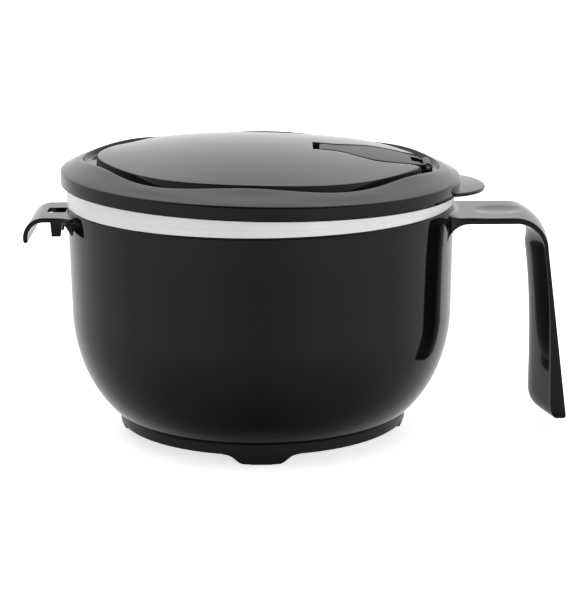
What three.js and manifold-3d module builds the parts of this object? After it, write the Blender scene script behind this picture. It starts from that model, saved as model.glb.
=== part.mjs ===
// A two-wall soup bowl: a steel liner in a black moulded shell on a four-footed base, with a carrying
// handle, a hanging ear and a snap lid whose flip-up flap opens a vent.
// Millimetres, +Z up. Heights are above the table that the foot pads stand on, radii are from the
// bowl's axis, which stands at x = AXIS_X so that the origin is under the middle of the whole object.
import * as THREE from "three";
import { mergeVertices } from "three/addons/utils/BufferGeometryUtils.js";
import Module from "manifold-3d";

const wasm = await Module();
wasm.setup();

// ---------------------------------------------------------------- driving dimensions
const GAP = 0.3; // between pieces that touch
const SEGMENTS = 48; // round the big turned pieces
const FINE = 16; // round screws, pins and bosses

const HANDLE_REACH = 127.3; // outermost point of the grip
const EAR_REACH = 97.8; // outermost point of the ear's curl
const AXIS_X = (EAR_REACH - HANDLE_REACH) / 2;

const BASE = { radius: 60.4, wall: 2.2, under: 5, disc: 5.6, floor: 7.6, top: 9.7 };
const FOOT = { count: 4, halfTop: 15.5, halfBottom: 7.3, inner: 46, bottom: 0.4, outerBottom: 58.8 };
const PAD = { length: 11, depth: 8, corner: 2, top: 1.6, at: 53.3 };
const BASE_SCREW = { at: 48, head: 3, headLow: 6, headTop: 7.6, shank: 1.45, tip: 17, boss: 3.6 };

const SHELL = {
  under: 10, // just above the base
  floor: 12.4,
  centreUnder: 14.2, // raised middle that clears the liner's nut
  centreFloor: 16.6,
  centreRadius: 13,
  bellyZ: 53.8, // where the round bottom meets the nearly upright wall
  bellyRadius: 79.65,
  bowlWide: 38.26, // semi-axes of the round bottom
  bowlDeep: 51.33,
  topZ: 97.74,
  topRadius: 80.5,
  wall: 2.2,
  neckZ: 103.6, // upstand that the liner's rim folds over
  neckOuter: 79.3,
  neckInner: 77.8,
};
const LINER = {
  sheet: 0.9,
  bottom: 20.7,
  flat: 41,
  bellyZ: 57,
  bellyRadius: 75.3,
  mouth: 75.8,
  rimZ: 107,
  rimRound: 1.2,
};
const STUD = { radius: 2.4, low: 9.2 };
const NUT = { corner: 4.6, low: 9.7, high: 12.6 };
const WASHER = { radius: 6.5, low: 12.9, high: 13.9 };

const HANDLE = {
  halfWidth: 20,
  top: 93.05,
  under: 90.55,
  cornerX: 104.5,
  outerRound: 14,
  innerRound: 12.5,
  lean: 0.1325, // the outer face leans out by this much for each millimetre down
  innerFoot: 118.9,
  bulge: 4.4, // how far the palm side swells towards the bowl
  bulgeTop: 5.2,
  crown: 1.3, // how far the outer side of the corner swells
  tipStart: 13,
  tip: 6.6,
  tipRound: 4,
  rootUnder: 6, // fillets that spread the root over the shell
  rootTop: 3.4,
  rootSide: 5,
};
const THUMB = { x: 99.5, halfLength: 10.5, halfWidth: 9, depth: 0.6, ball: 3 };

const EAR = { halfWidth: 18, flare: 23.5, top: 94, sheet: 1.9, curlX: -89.3, curl: 8.5, hookZ: 84.2 };
const EAR_PLATE = { shoulder: -86, bend: -80, wall: -77.5, root: -60 }; // x stations of the ear's plan
const EAR_SLOT = { from: -89, to: -81.2, halfWidth: 5.2, low: 88, high: 100 };
const EAR_TAB = { from: -87.8, to: -82, footFrom: -87.1, footTo: -83.3, low: 84.1, out: 7.8, in: 5.8 };
const EAR_GUSSET = { inner: 19.8, outer: 23.2, reach: 80.4, wall: 76.8, low: 87.3 };
const EAR_RIB = { halfWidth: 1.4, reach: 81.6, wall: 80, low: 82.9 };

const LID_TILT = THREE.MathUtils.degToRad(1.47); // the lid sits a little lower on the handle side
const LID_Z = 104.8; // lower edge of the lid's skirt on the axis
const LID = {
  radius: 83,
  skirt: 1.8,
  shoulder: 109.2,
  grooveRadius: 72.3,
  grooveTop: 114.75,
  deck: 112.2,
  deckUnder: 110.4,
  plugOuter: 74.2,
  plugInner: 72.6,
  plugLow: 100.1,
};
// The groove and the cover have a gently scalloped outline; the groove's edge follows the sloping ring.
const WAVE = { lobes: 6, height: 1.85, phase: THREE.MathUtils.degToRad(3), slope: 0.45 };
const TAB = { centre: 74, reach: 19.5, halfWidth: 25.3, sheet: 1.6 };
const COVER = { radius: 67.4, apex: 122, crown: 360, edge: 1.2, wall: 1.8, flat: 40, waveShare: 0.6 };
const FLAP = { tip: 24, sheet: 2, clearance: 1.2, fingerGap: 2.5 };
const FLAP_WINDOW = { from: 62.3, to: 67.5, halfWidth: 5 };
// Half outlines as [x, half width]: the flap, and the mouth of its pocket at the groove.
const FLAP_OUTLINE = [
  [FLAP.tip, 7.2],
  [31, 7.6],
  [37, 11],
  [43, 15.4],
  [48, 16.8],
  [54, 15.6],
  [60, 13],
  [66, 10],
  [69, 8],
];
const MOUTH_OUTLINE = [
  [61, 13.4],
  [65, 15.2],
  [76, 25],
];
const HINGE = { x: 69, z: 113.9, barrel: 1.9, pin: 0.8, halfBarrel: 8, halfPin: 10.8, lug: 1.9, wing: 2.5 };
const VENT = { x: 47, hole: 6.6, plugTop: 5.8, plugLow: 5.1, low: 108.6 };

// ---------------------------------------------------------------- finishes
function finish(colour, roughness, metalness = 0) {
  return () => new THREE.MeshStandardMaterial({ color: colour, roughness, metalness });
}
const glossBlack = finish(0x0b0b0c, 0.12);
const satinBlack = finish(0x101011, 0.4);
const steel = finish(0xc9c9c7, 0.3, 1);
const zincSteel = finish(0xa9a9a6, 0.4, 1);
const rubber = finish(0x151515, 0.85);
const silicone = finish(0xd9d9d4, 0.6);

// ---------------------------------------------------------------- geometry helpers
/** A closed geometry as a solid that can be joined and cut. */
function solid(geometry) {
  const plain = geometry.index ? geometry.toNonIndexed() : geometry.clone();
  plain.deleteAttribute("normal");
  plain.deleteAttribute("uv");
  const merged = mergeVertices(plain, 1e-4);
  const vertProperties = new Float32Array(merged.attributes.position.array);
  const triVerts = new Uint32Array(merged.index.array);
  return new wasm.Manifold(new wasm.Mesh({ numProp: 3, vertProperties, triVerts }));
}

/** A solid as a named mesh with its own material. */
function piece(name, body, makeMaterial) {
  const { vertProperties, triVerts } = body.getMesh();
  const geometry = new THREE.BufferGeometry();
  geometry.setAttribute("position", new THREE.BufferAttribute(vertProperties, 3));
  geometry.setIndex(new THREE.BufferAttribute(triVerts, 1));
  geometry.computeVertexNormals();
  const mesh = new THREE.Mesh(geometry, makeMaterial());
  mesh.name = name;
  return mesh;
}

/** Points on an arc or ellipse in the plane of a profile, angles in degrees. */
function arc(centreR, centreZ, wide, high, from, to, steps) {
  const points = [];
  for (let i = 0; i <= steps; i++) {
    const angle = THREE.MathUtils.degToRad(from + ((to - from) * i) / steps);
    points.push([centreR + wide * Math.cos(angle), centreZ + high * Math.sin(angle)]);
  }
  return points;
}

/** Pushes each point of a turned shape in and out in even lobes, and down by slope where it moves out. */
function scallop(geometry, weight, slope) {
  const place = geometry.attributes.position;
  for (let i = 0; i < place.count; i++) {
    const [x, y, z] = [place.getX(i), place.getY(i), place.getZ(i)];
    const radius = Math.hypot(x, y);
    if (radius < 1) continue;
    const angle = Math.atan2(y, x) + WAVE.phase;
    const push = WAVE.height * weight(radius, z) * Math.cos(WAVE.lobes * angle);
    const share = (z - LID.deck) / (LID.grooveTop - LID.deck);
    const stretch = (radius + push) / radius;
    place.setXYZ(i, x * stretch, y * stretch, z - slope * push * share);
  }
}

/** A body turned about +Z from [radius, height] points: along the underside, up the outside, back in. */
function turned(points, segments = SEGMENTS, weight = null, slope = 0) {
  const outline = points.map(([r, z]) => new THREE.Vector2(r, z));
  const geometry = new THREE.LatheGeometry(outline, segments);
  geometry.rotateX(Math.PI / 2);
  if (weight) scallop(geometry, weight, slope);
  return solid(geometry);
}

/** A turned ring: the same, with the profile closed on itself. */
function ring(points, segments = SEGMENTS, weight = null) {
  return turned([...points, points[0]], segments, weight);
}

function cylinder(radius, low, high, x = 0, y = 0, segments = FINE) {
  return turned([[0, low], [radius, low], [radius, high], [0, high]], segments).translate([x, y, 0]);
}

/** A side profile drawn in x and z, given a width along y about y = middle. */
function acrossY(shape, width, middle = 0) {
  const geometry = new THREE.ExtrudeGeometry(shape, { depth: width, bevelEnabled: false });
  geometry.rotateX(Math.PI / 2);
  geometry.translate(0, middle + width / 2, 0);
  return solid(geometry);
}

/** A plan outline drawn in x and y, standing from low to high. */
function upZ(shape, low, high) {
  const geometry = new THREE.ExtrudeGeometry(shape, { depth: high - low, bevelEnabled: false });
  geometry.translate(0, 0, low);
  return solid(geometry);
}

function block(x0, x1, y0, y1, z0, z1) {
  const geometry = new THREE.BoxGeometry(x1 - x0, y1 - y0, z1 - z0);
  geometry.translate((x0 + x1) / 2, (y0 + y1) / 2, (z0 + z1) / 2);
  return solid(geometry);
}

/** A pin or hole along y. */
function rod(radius, x, z, halfLength, segments = FINE) {
  const geometry = new THREE.CylinderGeometry(radius, radius, 2 * halfLength, segments);
  geometry.translate(x, 0, z);
  return solid(geometry);
}

function polygon(points) {
  return new THREE.Shape(points.map(([x, y]) => new THREE.Vector2(x, y)));
}

/** A plan outline symmetric about x from [x, half width] points joined by a smooth curve. */
function mirroredOutline(points, steps = 18) {
  const side = new THREE.SplineCurve(points.map(([x, y]) => new THREE.Vector2(x, y))).getPoints(steps);
  const other = side.map((p) => new THREE.Vector2(p.x, -p.y)).reverse();
  return new THREE.Shape([...other, ...side]);
}

/** A strip of cross sections, each with as many upper points as lower ones, skinned and capped. */
function skinned(sections) {
  const across = sections[0].upper.length;
  const size = 2 * across;
  const points = sections.flatMap(({ upper, lower }) => [...upper, ...[...lower].reverse()]);
  const faces = [];
  for (let s = 0; s + 1 < sections.length; s++)
    for (let i = 0; i < size; i++) {
      const [a, b] = [s * size + i, s * size + ((i + 1) % size)];
      faces.push(a, a + size, b, b, a + size, b + size);
    }
  const last = (sections.length - 1) * size;
  for (let i = 0; i + 1 < across; i++) {
    const j = size - 1 - i;
    faces.push(i, i + 1, j, j, i + 1, j - 1);
    faces.push(last + i, last + j, last + i + 1, last + j, last + j - 1, last + i + 1);
  }
  const geometry = new THREE.BufferGeometry();
  geometry.setAttribute("position", new THREE.Float32BufferAttribute(points.flat(), 3));
  geometry.setIndex(faces);
  return solid(geometry);
}

// ---------------------------------------------------------------- the bowl
/** Radius of the shell's outside at a height. */
function shellRadius(z) {
  if (z >= SHELL.bellyZ) {
    const up = (z - SHELL.bellyZ) / (SHELL.topZ - SHELL.bellyZ);
    return SHELL.bellyRadius + up * (SHELL.topRadius - SHELL.bellyRadius);
  }
  const down = (SHELL.bellyZ - z) / SHELL.bowlDeep;
  return SHELL.bellyRadius - SHELL.bowlWide * (1 - Math.sqrt(1 - down * down));
}

/** Points of the shell's round bottom, drawn in by inset, from its seat to its belly. */
function shellCurve(inset, lowest, steps) {
  const [wide, deep] = [SHELL.bowlWide - inset, SHELL.bowlDeep - inset];
  const start = THREE.MathUtils.radToDeg(Math.asin((lowest - SHELL.bellyZ) / deep));
  return arc(SHELL.bellyRadius - SHELL.bowlWide, SHELL.bellyZ, wide, deep, start, 0, steps);
}

function screwPlaces() {
  const places = [];
  for (let i = 0; i < FOOT.count; i++) {
    const angle = ((i + 0.5) * 2 * Math.PI) / FOOT.count;
    places.push([BASE_SCREW.at * Math.cos(angle), BASE_SCREW.at * Math.sin(angle)]);
  }
  return places;
}

function outerShell() {
  let shell = turned([
    [0, SHELL.centreUnder],
    [SHELL.centreRadius, SHELL.centreUnder],
    [SHELL.centreRadius + 2, SHELL.under],
    ...shellCurve(0, SHELL.under, 9),
    [SHELL.topRadius, SHELL.topZ],
    [SHELL.neckOuter, SHELL.topZ],
    [SHELL.neckOuter, SHELL.neckZ],
    [SHELL.neckInner, SHELL.neckZ],
    [SHELL.neckInner, SHELL.topZ],
    [SHELL.topRadius - SHELL.wall, SHELL.topZ - 3],
    ...shellCurve(SHELL.wall, SHELL.floor, 6).reverse(),
    [SHELL.centreRadius + 3, SHELL.floor],
    [SHELL.centreRadius + 1, SHELL.centreFloor],
    [0, SHELL.centreFloor],
  ]);
  shell = shell.subtract(cylinder(STUD.radius + 0.5, 0, 30));
  const bossTop = BASE_SCREW.tip + 1.6;
  for (const [x, y] of screwPlaces()) {
    shell = shell.add(cylinder(BASE_SCREW.boss, SHELL.floor - 1, bossTop, x, y));
    shell = shell.subtract(cylinder(BASE_SCREW.shank + GAP, 0, BASE_SCREW.tip + GAP, x, y));
  }
  return shell;
}

function steelLiner() {
  const { sheet, flat, bellyZ, bellyRadius, mouth, rimZ, rimRound, bottom } = LINER;
  const outside = bellyRadius + sheet;
  const curtain = SHELL.topRadius;
  const rollZ = rimZ - rimRound;
  return turned([
    [0, bottom - sheet],
    ...arc(flat, bellyZ, outside - flat, bellyZ - bottom + sheet, -90, 0, 7),
    [mouth + sheet, rollZ - 4],
    [mouth + sheet, rollZ - 0.6],
    [mouth + sheet + 0.9, rimZ - sheet],
    [curtain - sheet - 0.9, rimZ - sheet],
    [curtain - sheet, rollZ - 0.6],
    [curtain - sheet, SHELL.topZ + GAP],
    [curtain, SHELL.topZ + GAP],
    ...arc(curtain - rimRound, rollZ, rimRound, rimRound, 0, 90, 2),
    ...arc(mouth + rimRound, rollZ, rimRound, rimRound, 90, 180, 2),
    [mouth, rollZ - 4],
    ...arc(flat, bellyZ, bellyRadius - flat, bellyZ - bottom, 0, -90, 7),
    [0, bottom],
  ]);
}

function rimGasket() {
  const [inner, outer] = [SHELL.neckInner - 0.6, SHELL.neckOuter - 0.1];
  const [low, high] = [SHELL.neckZ + GAP, SHELL.neckZ + 1.7];
  return ring([[inner, low], [outer, low], [outer, high], [inner, high]]);
}

function nut() {
  const hexagon = new THREE.CylinderGeometry(NUT.corner, NUT.corner, NUT.high - NUT.low, 6);
  hexagon.rotateX(Math.PI / 2);
  hexagon.translate(0, 0, (NUT.low + NUT.high) / 2);
  return solid(hexagon).subtract(cylinder(STUD.radius + GAP, 0, 30));
}

function washer() {
  const hole = STUD.radius + GAP;
  const { radius, low, high } = WASHER;
  return ring([[hole, low], [radius, low], [radius, high], [hole, high]], FINE);
}

// ---------------------------------------------------------------- the base
/** One flared foot under the front of the base, before it is trimmed to the base's round wall. */
function footBlank() {
  const { halfTop, halfBottom, bottom, inner } = FOOT;
  const shape = new THREE.Shape();
  shape.moveTo(-halfTop, BASE.floor);
  shape.lineTo(-halfTop, BASE.under);
  shape.bezierCurveTo(-halfTop + 5, BASE.under, -halfBottom - 3, bottom, -halfBottom + 2, bottom);
  shape.lineTo(halfBottom - 2, bottom);
  shape.bezierCurveTo(halfBottom + 3, bottom, halfTop - 5, BASE.under, halfTop, BASE.under);
  shape.lineTo(halfTop, BASE.floor);
  const depth = BASE.radius + 2 - inner;
  return acrossY(shape, depth, -(inner + depth / 2));
}

function padOutline(grow) {
  const [a, b, r] = [PAD.length / 2 + grow, PAD.depth / 2 + grow, PAD.corner];
  const shape = new THREE.Shape();
  shape.absarc(a - r, b - r, r, 0, Math.PI / 2);
  shape.absarc(-a + r, b - r, r, Math.PI / 2, Math.PI);
  shape.absarc(-a + r, -b + r, r, Math.PI, 1.5 * Math.PI);
  shape.absarc(a - r, -b + r, r, 1.5 * Math.PI, 2 * Math.PI);
  return new THREE.Shape(shape.getPoints(3));
}

function footPad(index) {
  const pad = upZ(padOutline(0), 0, PAD.top).translate([0, -PAD.at, 0]);
  return pad.rotate([0, 0, (index * 360) / FOOT.count]);
}

function baseCap() {
  const { radius, wall, under, disc, floor, top } = BASE;
  let base = turned([
    [0, disc],
    [radius - 4.5, disc],
    [radius - 3.6, under],
    [radius - 0.9, under],
    [radius, under + 0.9],
    [radius, top],
    [radius - wall, top],
    [radius - wall, floor],
    [0, floor],
  ]);
  const draft = turned([
    [0, FOOT.bottom],
    [FOOT.outerBottom, FOOT.bottom],
    [radius, under + 0.2],
    [radius, floor],
    [0, floor],
  ]);
  const foot = footBlank().intersect(draft);
  const pocket = upZ(padOutline(GAP), -1, PAD.top + GAP).translate([0, -PAD.at, 0]);
  for (let i = 0; i < FOOT.count; i++) {
    const turn = [0, 0, (i * 360) / FOOT.count];
    base = base.add(foot.rotate(turn)).subtract(pocket.rotate(turn));
  }
  for (const [x, y] of screwPlaces()) {
    base = base.add(cylinder(BASE_SCREW.head + 1.4, disc + 0.5, top, x, y));
    base = base.subtract(cylinder(BASE_SCREW.head + GAP, 0, BASE_SCREW.headTop + GAP, x, y));
    base = base.subtract(cylinder(BASE_SCREW.shank + GAP, 0, 30, x, y));
  }
  return base;
}

function baseScrew([x, y]) {
  const { head, headLow, headTop, shank, tip } = BASE_SCREW;
  const body = turned([
    [0, headLow],
    [head - 0.6, headLow],
    [head, headLow + 0.6],
    [head, headTop],
    [shank, headTop],
    [shank, tip - 1.2],
    [0, tip],
  ], FINE);
  const cross = block(-1.7, 1.7, -0.4, 0.4, 0, headLow + 0.9);
  return body.subtract(cross).subtract(cross.rotate([0, 0, 90])).translate([x, y, 0]);
}

// ---------------------------------------------------------------- handle and ear
/** The space that the shell takes, with the gap that its neighbours keep. */
function shellClearance() {
  const curve = shellCurve(-GAP, SHELL.under, 9);
  return turned([[0, SHELL.under], ...curve, [SHELL.topRadius + GAP, SHELL.topZ + 12], [0, SHELL.topZ + 12]]);
}

/** Extra size of a fillet of a given radius at a distance from the wall that it meets. */
function fillet(radius, distance) {
  if (distance >= radius) return 0;
  return radius - Math.sqrt(radius * radius - (radius - distance) ** 2);
}

/** One cross section of the handle: a flat outer side and a palm side that swells in the middle. */
function handleSection({ outer, inner, halfWidth, bulge, crown = 0, hug = 0 }) {
  const steps = 8;
  const [dx, dz] = [inner[0] - outer[0], inner[1] - outer[1]];
  const length = Math.hypot(dx, dz);
  const wall = shellRadius(HANDLE.under);
  const section = { upper: [], lower: [] };
  for (let i = 0; i <= steps; i++) {
    const y = halfWidth * ((2 * i) / steps - 1);
    const back = hug * (wall - Math.sqrt(wall * wall - y * y));
    const round = (1 - (y / halfWidth) ** 2) / length;
    const [swell, rise] = [bulge * round, crown * round];
    section.upper.push([outer[0] - dx * rise - back, y, outer[1] - dz * rise]);
    section.lower.push([inner[0] + dx * swell - back, y, inner[1] + dz * swell]);
  }
  return section;
}

/** The root, spread over the shell by fillets above, below and at both sides. */
function handleRoot() {
  const { top, under, halfWidth, rootTop, rootUnder, rootSide } = HANDLE;
  return [-1.5, 0.2, 0.7, 1.6, 3.2, 6].map((away) => {
    const distance = Math.max(away, 0.2);
    const x = shellRadius(under) + away;
    return handleSection({
      outer: [x, top + fillet(rootTop, distance)],
      inner: [x, under - fillet(rootUnder, distance)],
      halfWidth: halfWidth + fillet(rootSide, distance),
      bulge: 0,
      hug: 1 - Math.max(away, 0) / 8,
    });
  });
}

function handleCorner() {
  const { cornerX, outerRound, innerRound, top, under, halfWidth, bulgeTop, crown } = HANDLE;
  const steps = 8;
  const sections = [];
  for (let i = 0; i <= steps; i++) {
    const angle = (i / steps) * (Math.PI / 2);
    const [s, c] = [Math.sin(angle), Math.cos(angle)];
    sections.push(handleSection({
      outer: [cornerX + outerRound * s, top - outerRound * (1 - c)],
      inner: [cornerX + innerRound * s, under - innerRound * (1 - c)],
      halfWidth,
      bulge: bulgeTop * s,
      crown: crown * Math.sin(1.6 * angle),
    }));
  }
  return sections;
}

/** The grip, from the corner to its rounded tip. */
function handleGrip() {
  const { cornerX, outerRound, innerRound, top, lean, innerFoot, bulge, bulgeTop } = HANDLE;
  const start = top - outerRound;
  const sections = [];
  const outerX = (z) => cornerX + outerRound + lean * (start - z);
  const innerX = (z) => THREE.MathUtils.lerp(innerFoot, cornerX + innerRound, ((z - 15) / (start - 15)) ** 3);
  for (const z of [70, 60, 48, 36, 24, 18]) {
    const swell = THREE.MathUtils.mapLinear(z, HANDLE.tipStart, start, bulge, bulgeTop);
    sections.push(handleSection({
      outer: [outerX(z), z],
      inner: [innerX(z), z],
      halfWidth: tipHalfWidth(z),
      bulge: swell,
    }));
  }
  for (const round of [0, 0.5, 0.8, 0.95, 0.995]) {
    const z = HANDLE.tipStart - (HANDLE.tipStart - HANDLE.tip) * round;
    const middle = (outerX(HANDLE.tipStart) + innerX(HANDLE.tipStart)) / 2;
    const half = ((outerX(HANDLE.tipStart) - innerX(HANDLE.tipStart)) / 2) * Math.sqrt(1 - round * round);
    sections.push(handleSection({
      outer: [middle + half, z],
      inner: [middle - half, z],
      halfWidth: tipHalfWidth(z),
      bulge: bulge * Math.sqrt(1 - round * round),
    }));
  }
  return sections;
}

/** Half width of the grip, drawn in round its lower corners. */
function tipHalfWidth(z) {
  const above = Math.max(0, HANDLE.tip + HANDLE.tipRound - z) / (HANDLE.tipRound + 0.3);
  return HANDLE.halfWidth - HANDLE.tipRound * (1 - Math.sqrt(1 - above * above));
}

function handle() {
  const ball = new THREE.SphereGeometry(1, 20, 14);
  ball.scale(THUMB.halfLength / 0.6, THUMB.halfWidth / 0.6, THUMB.ball);
  ball.translate(THUMB.x, 0, HANDLE.top + THUMB.ball - THUMB.depth);
  const body = skinned([...handleRoot(), ...handleCorner(), ...handleGrip()]);
  return body.subtract(solid(ball)).subtract(shellClearance());
}

/** Side view of the ear: a plate that curls down at its end. */
function earProfile() {
  const { top, sheet, curlX, curl, hookZ } = EAR;
  const centreZ = top - curl;
  const end = 180 + THREE.MathUtils.radToDeg(Math.asin((centreZ - hookZ) / curl));
  return polygon([
    [-SHELL.topRadius + 8, top],
    ...arc(curlX, centreZ, curl, curl, 90, end, 9),
    ...arc(curlX, centreZ, curl - sheet, curl - sheet, end, 90, 9),
    [-SHELL.topRadius + 8, top - sheet],
  ]);
}

/** Plan of the ear: parallel sides that flare out to meet the shell. */
function earPlan() {
  const shape = new THREE.Shape();
  const { halfWidth, flare } = EAR;
  const { shoulder, bend, wall, root } = EAR_PLATE;
  shape.moveTo(-EAR_REACH - 1, -halfWidth);
  shape.lineTo(shoulder, -halfWidth);
  shape.quadraticCurveTo(bend, -halfWidth - 0.4, wall, -flare);
  shape.lineTo(root, -flare);
  shape.lineTo(root, flare);
  shape.lineTo(wall, flare);
  shape.quadraticCurveTo(bend, halfWidth + 0.4, shoulder, halfWidth);
  shape.lineTo(-EAR_REACH - 1, halfWidth);
  return shape;
}

/** A web under the ear's plate: its free edge curves in from the plate to a point on the shell. */
function webProfile(reach, wall, low) {
  const underside = EAR.top - EAR.sheet;
  const shape = new THREE.Shape();
  shape.moveTo(-reach, underside + 0.5);
  shape.quadraticCurveTo(-(reach + wall) / 2 + 0.4, (underside + low) / 2 - 0.6, -wall, low);
  shape.lineTo(-wall + 8, low);
  shape.lineTo(-wall + 8, underside + 0.5);
  return shape;
}

function earGusset(side) {
  const { inner, outer, reach, wall, low } = EAR_GUSSET;
  return acrossY(webProfile(reach, wall, low), outer - inner, (side * (inner + outer)) / 2);
}

function earHook() {
  const tab = polygon([
    [EAR_TAB.from, EAR.top - 0.5],
    [EAR_TAB.footFrom, EAR_TAB.low],
    [EAR_TAB.footTo, EAR_TAB.low],
    [EAR_TAB.to, EAR.top - 0.5],
  ]);
  const { from, to, halfWidth, low, high } = EAR_SLOT;
  const rib = acrossY(webProfile(EAR_RIB.reach, EAR_RIB.wall, EAR_RIB.low), 2 * EAR_RIB.halfWidth);
  return acrossY(earProfile(), 2 * EAR.flare)
    .intersect(upZ(earPlan(), 60, 100))
    .add(earGusset(-1))
    .add(earGusset(1))
    .add(rib)
    .add(acrossY(tab, EAR_TAB.out - EAR_TAB.in, (EAR_TAB.out + EAR_TAB.in) / 2))
    .add(acrossY(tab, EAR_TAB.out - EAR_TAB.in, -(EAR_TAB.out + EAR_TAB.in) / 2))
    .subtract(block(from, to, -halfWidth, halfWidth, low, high))
    .subtract(shellClearance());
}

// ---------------------------------------------------------------- the lid, modelled level
/** The scallops fade out across the lid's sloping ring and leave its underside round. */
function ringScallop(radius, z) {
  if (z < LID.deck + 0.1 || radius < LID.grooveRadius - 4) return 0;
  return THREE.MathUtils.clamp((LID.radius - 1 - radius) / (LID.radius - 1 - LID.grooveRadius), 0, 1);
}

function lidBody() {
  const { radius, skirt, shoulder, grooveRadius, grooveTop, deck, deckUnder } = LID;
  const { plugOuter, plugInner, plugLow } = LID;
  const inside = radius - skirt;
  const lid = turned([
    [0, deckUnder],
    [plugInner, deckUnder],
    [plugInner, plugLow],
    [plugOuter + 0.8, plugLow],
    [plugOuter + 0.8, plugLow + 0.8],
    [plugOuter, plugLow + 0.8],
    [plugOuter, deck - 0.1],
    [inside - 1, shoulder + 0.1],
    [inside, shoulder - 0.7],
    [inside, LID_Z + 0.3],
    [inside + 0.3, LID_Z],
    [radius - 0.3, LID_Z],
    [radius, LID_Z + 0.3],
    ...arc(radius - 1.8, shoulder, 1.8, 1.6, 0, 68, 3),
    [grooveRadius + 0.5, grooveTop],
    [grooveRadius, grooveTop - 0.4],
    [grooveRadius - 0.8, deck + 0.2],
    [grooveRadius - 1.6, deck],
    [0, deck],
  ], SEGMENTS, ringScallop, WAVE.slope);
  const pullOutline = new THREE.Shape();
  pullOutline.absellipse(TAB.centre, 0, TAB.reach, TAB.halfWidth, 0, 2 * Math.PI);
  const pull = upZ(new THREE.Shape(pullOutline.getPoints(18)), LID_Z, LID_Z + TAB.sheet);
  const pullTab = pull.subtract(cylinder(radius - 1, 0, 200, 0, 0, SEGMENTS));
  const { x, z, barrel, halfBarrel, lug, pin } = HINGE;
  let body = lid.add(pullTab);
  for (const side of [-1, 1]) {
    const middle = side * (halfBarrel + GAP + lug / 2);
    body = body.add(block(x - 1.7, x + 1.7, middle - lug / 2, middle + lug / 2, deck - 0.5, z + 1.4));
  }
  const trough = block(x - 3, x + barrel + 0.3, -halfBarrel - GAP, halfBarrel + GAP, z - barrel - GAP, z);
  return body
    .subtract(trough)
    .subtract(rod(pin + GAP, x, z, 2 * halfBarrel))
    .subtract(cylinder(VENT.hole, 100, 120, VENT.x));
}

/** Height of the cover's crowned top at a radius. */
function crownZ(radius) {
  return COVER.apex - (COVER.crown - Math.sqrt(COVER.crown ** 2 - radius ** 2));
}

/** A solid crowned dish, drawn in by inset from the cover's outside. */
function crownedDish(inset, low) {
  const rim = COVER.radius - inset;
  const points = [[0, low], [rim, low]];
  const shoulder = rim - COVER.edge;
  points.push(...arc(shoulder, crownZ(shoulder) - COVER.edge - inset, COVER.edge, COVER.edge, 0, 75, 2));
  for (const part of [0.8, 0.55, 0.27]) points.push([rim * part, crownZ(rim * part) - inset]);
  points.push([0, COVER.apex - inset]);
  const swell = (radius) => (COVER.waveShare * Math.max(0, radius - COVER.flat)) / (rim - COVER.flat);
  return turned(points, SEGMENTS, swell);
}

function flapOutline(clearance) {
  const first = FLAP_OUTLINE[0];
  const start = [first[0] - (clearance ? FLAP.fingerGap : 0), first[1] + clearance];
  const grown = FLAP_OUTLINE.slice(1).map(([x, half]) => [x, half + clearance]);
  return mirroredOutline([start, ...grown]);
}

/** The opening in the cover: round the flap, and wider where the hinge lies open to the groove. */
function flapPocket(grow) {
  const far = MOUTH_OUTLINE.map(([x, half]) => [x, -half]);
  const mouth = polygon([...far, ...[...MOUTH_OUTLINE].reverse()]);
  return upZ(flapOutline(FLAP.clearance + grow), 90, 130).add(upZ(mouth, 90, 130));
}

function lidCover() {
  const low = LID.deck + GAP;
  const hollow = crownedDish(COVER.wall, low - 1);
  const walls = flapPocket(COVER.wall);
  return crownedDish(0, low).subtract(hollow.subtract(walls)).subtract(flapPocket(0));
}

function sealRing() {
  const inner = LID.plugOuter + GAP;
  const [body, lip] = [inner + 0.5, inner + 1];
  const low = LID.plugLow + 1.1;
  return ring([
    [inner, low], [body, low], [lip, low + 0.8], [body, low + 1.6], [body, low + 2.6],
    [lip, low + 3.4], [body, low + 4.2], [inner, low + 4.2],
  ]);
}

// ---------------------------------------------------------------- the flap on the lid
function flap() {
  const crown = crownedDish(0, 100).subtract(crownedDish(FLAP.sheet, 99));
  const { x, z, barrel, halfBarrel, pin, wing: wingEnd } = HINGE;
  const reach = block(0, x - wingEnd, -30, 30, z - 0.9, 130);
  const wing = upZ(flapOutline(0), 90, 130).intersect(crown).intersect(reach);
  const neck = block(x - 5, x - 0.6, -halfBarrel, halfBarrel, z - 0.4, z + 1.3);
  const { from, to, halfWidth } = FLAP_WINDOW;
  return wing
    .add(neck)
    .add(rod(barrel, x, z, halfBarrel))
    .subtract(block(from, to, -halfWidth, halfWidth, 100, 130))
    .subtract(rod(pin + GAP, x, z, 2 * halfBarrel));
}

function ventStopper() {
  const top = crownZ(VENT.x + VENT.plugTop) - FLAP.sheet - GAP - 0.4;
  return turned([
    [0, VENT.low],
    [VENT.plugLow - 0.8, VENT.low],
    [VENT.plugLow, VENT.low + 0.8],
    [VENT.plugTop, LID.deck + 0.6],
    [VENT.plugTop, top],
    [0, top],
  ], FINE).translate([VENT.x, 0, 0]);
}

// ---------------------------------------------------------------- assembly
function buildBowl() {
  const bowl = new THREE.Group();
  bowl.add(
    piece("outer_shell", outerShell(), glossBlack),
    piece("steel_liner", steelLiner(), steel),
    piece("rim_gasket", rimGasket(), silicone),
    piece("liner_stud", cylinder(STUD.radius, STUD.low, LINER.bottom - LINER.sheet - GAP), zincSteel),
    piece("stud_washer", washer(), zincSteel),
    piece("stud_nut", nut(), zincSteel),
    piece("base_cap", baseCap(), satinBlack),
    piece("handle", handle(), glossBlack),
    piece("ear_hook", earHook(), glossBlack),
  );
  screwPlaces().forEach((place, i) => {
    bowl.add(piece(`base_screw_${i + 1}`, baseScrew(place), zincSteel));
    bowl.add(piece(`foot_pad_${i + 1}`, footPad(i), rubber));
  });
  return bowl;
}

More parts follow.
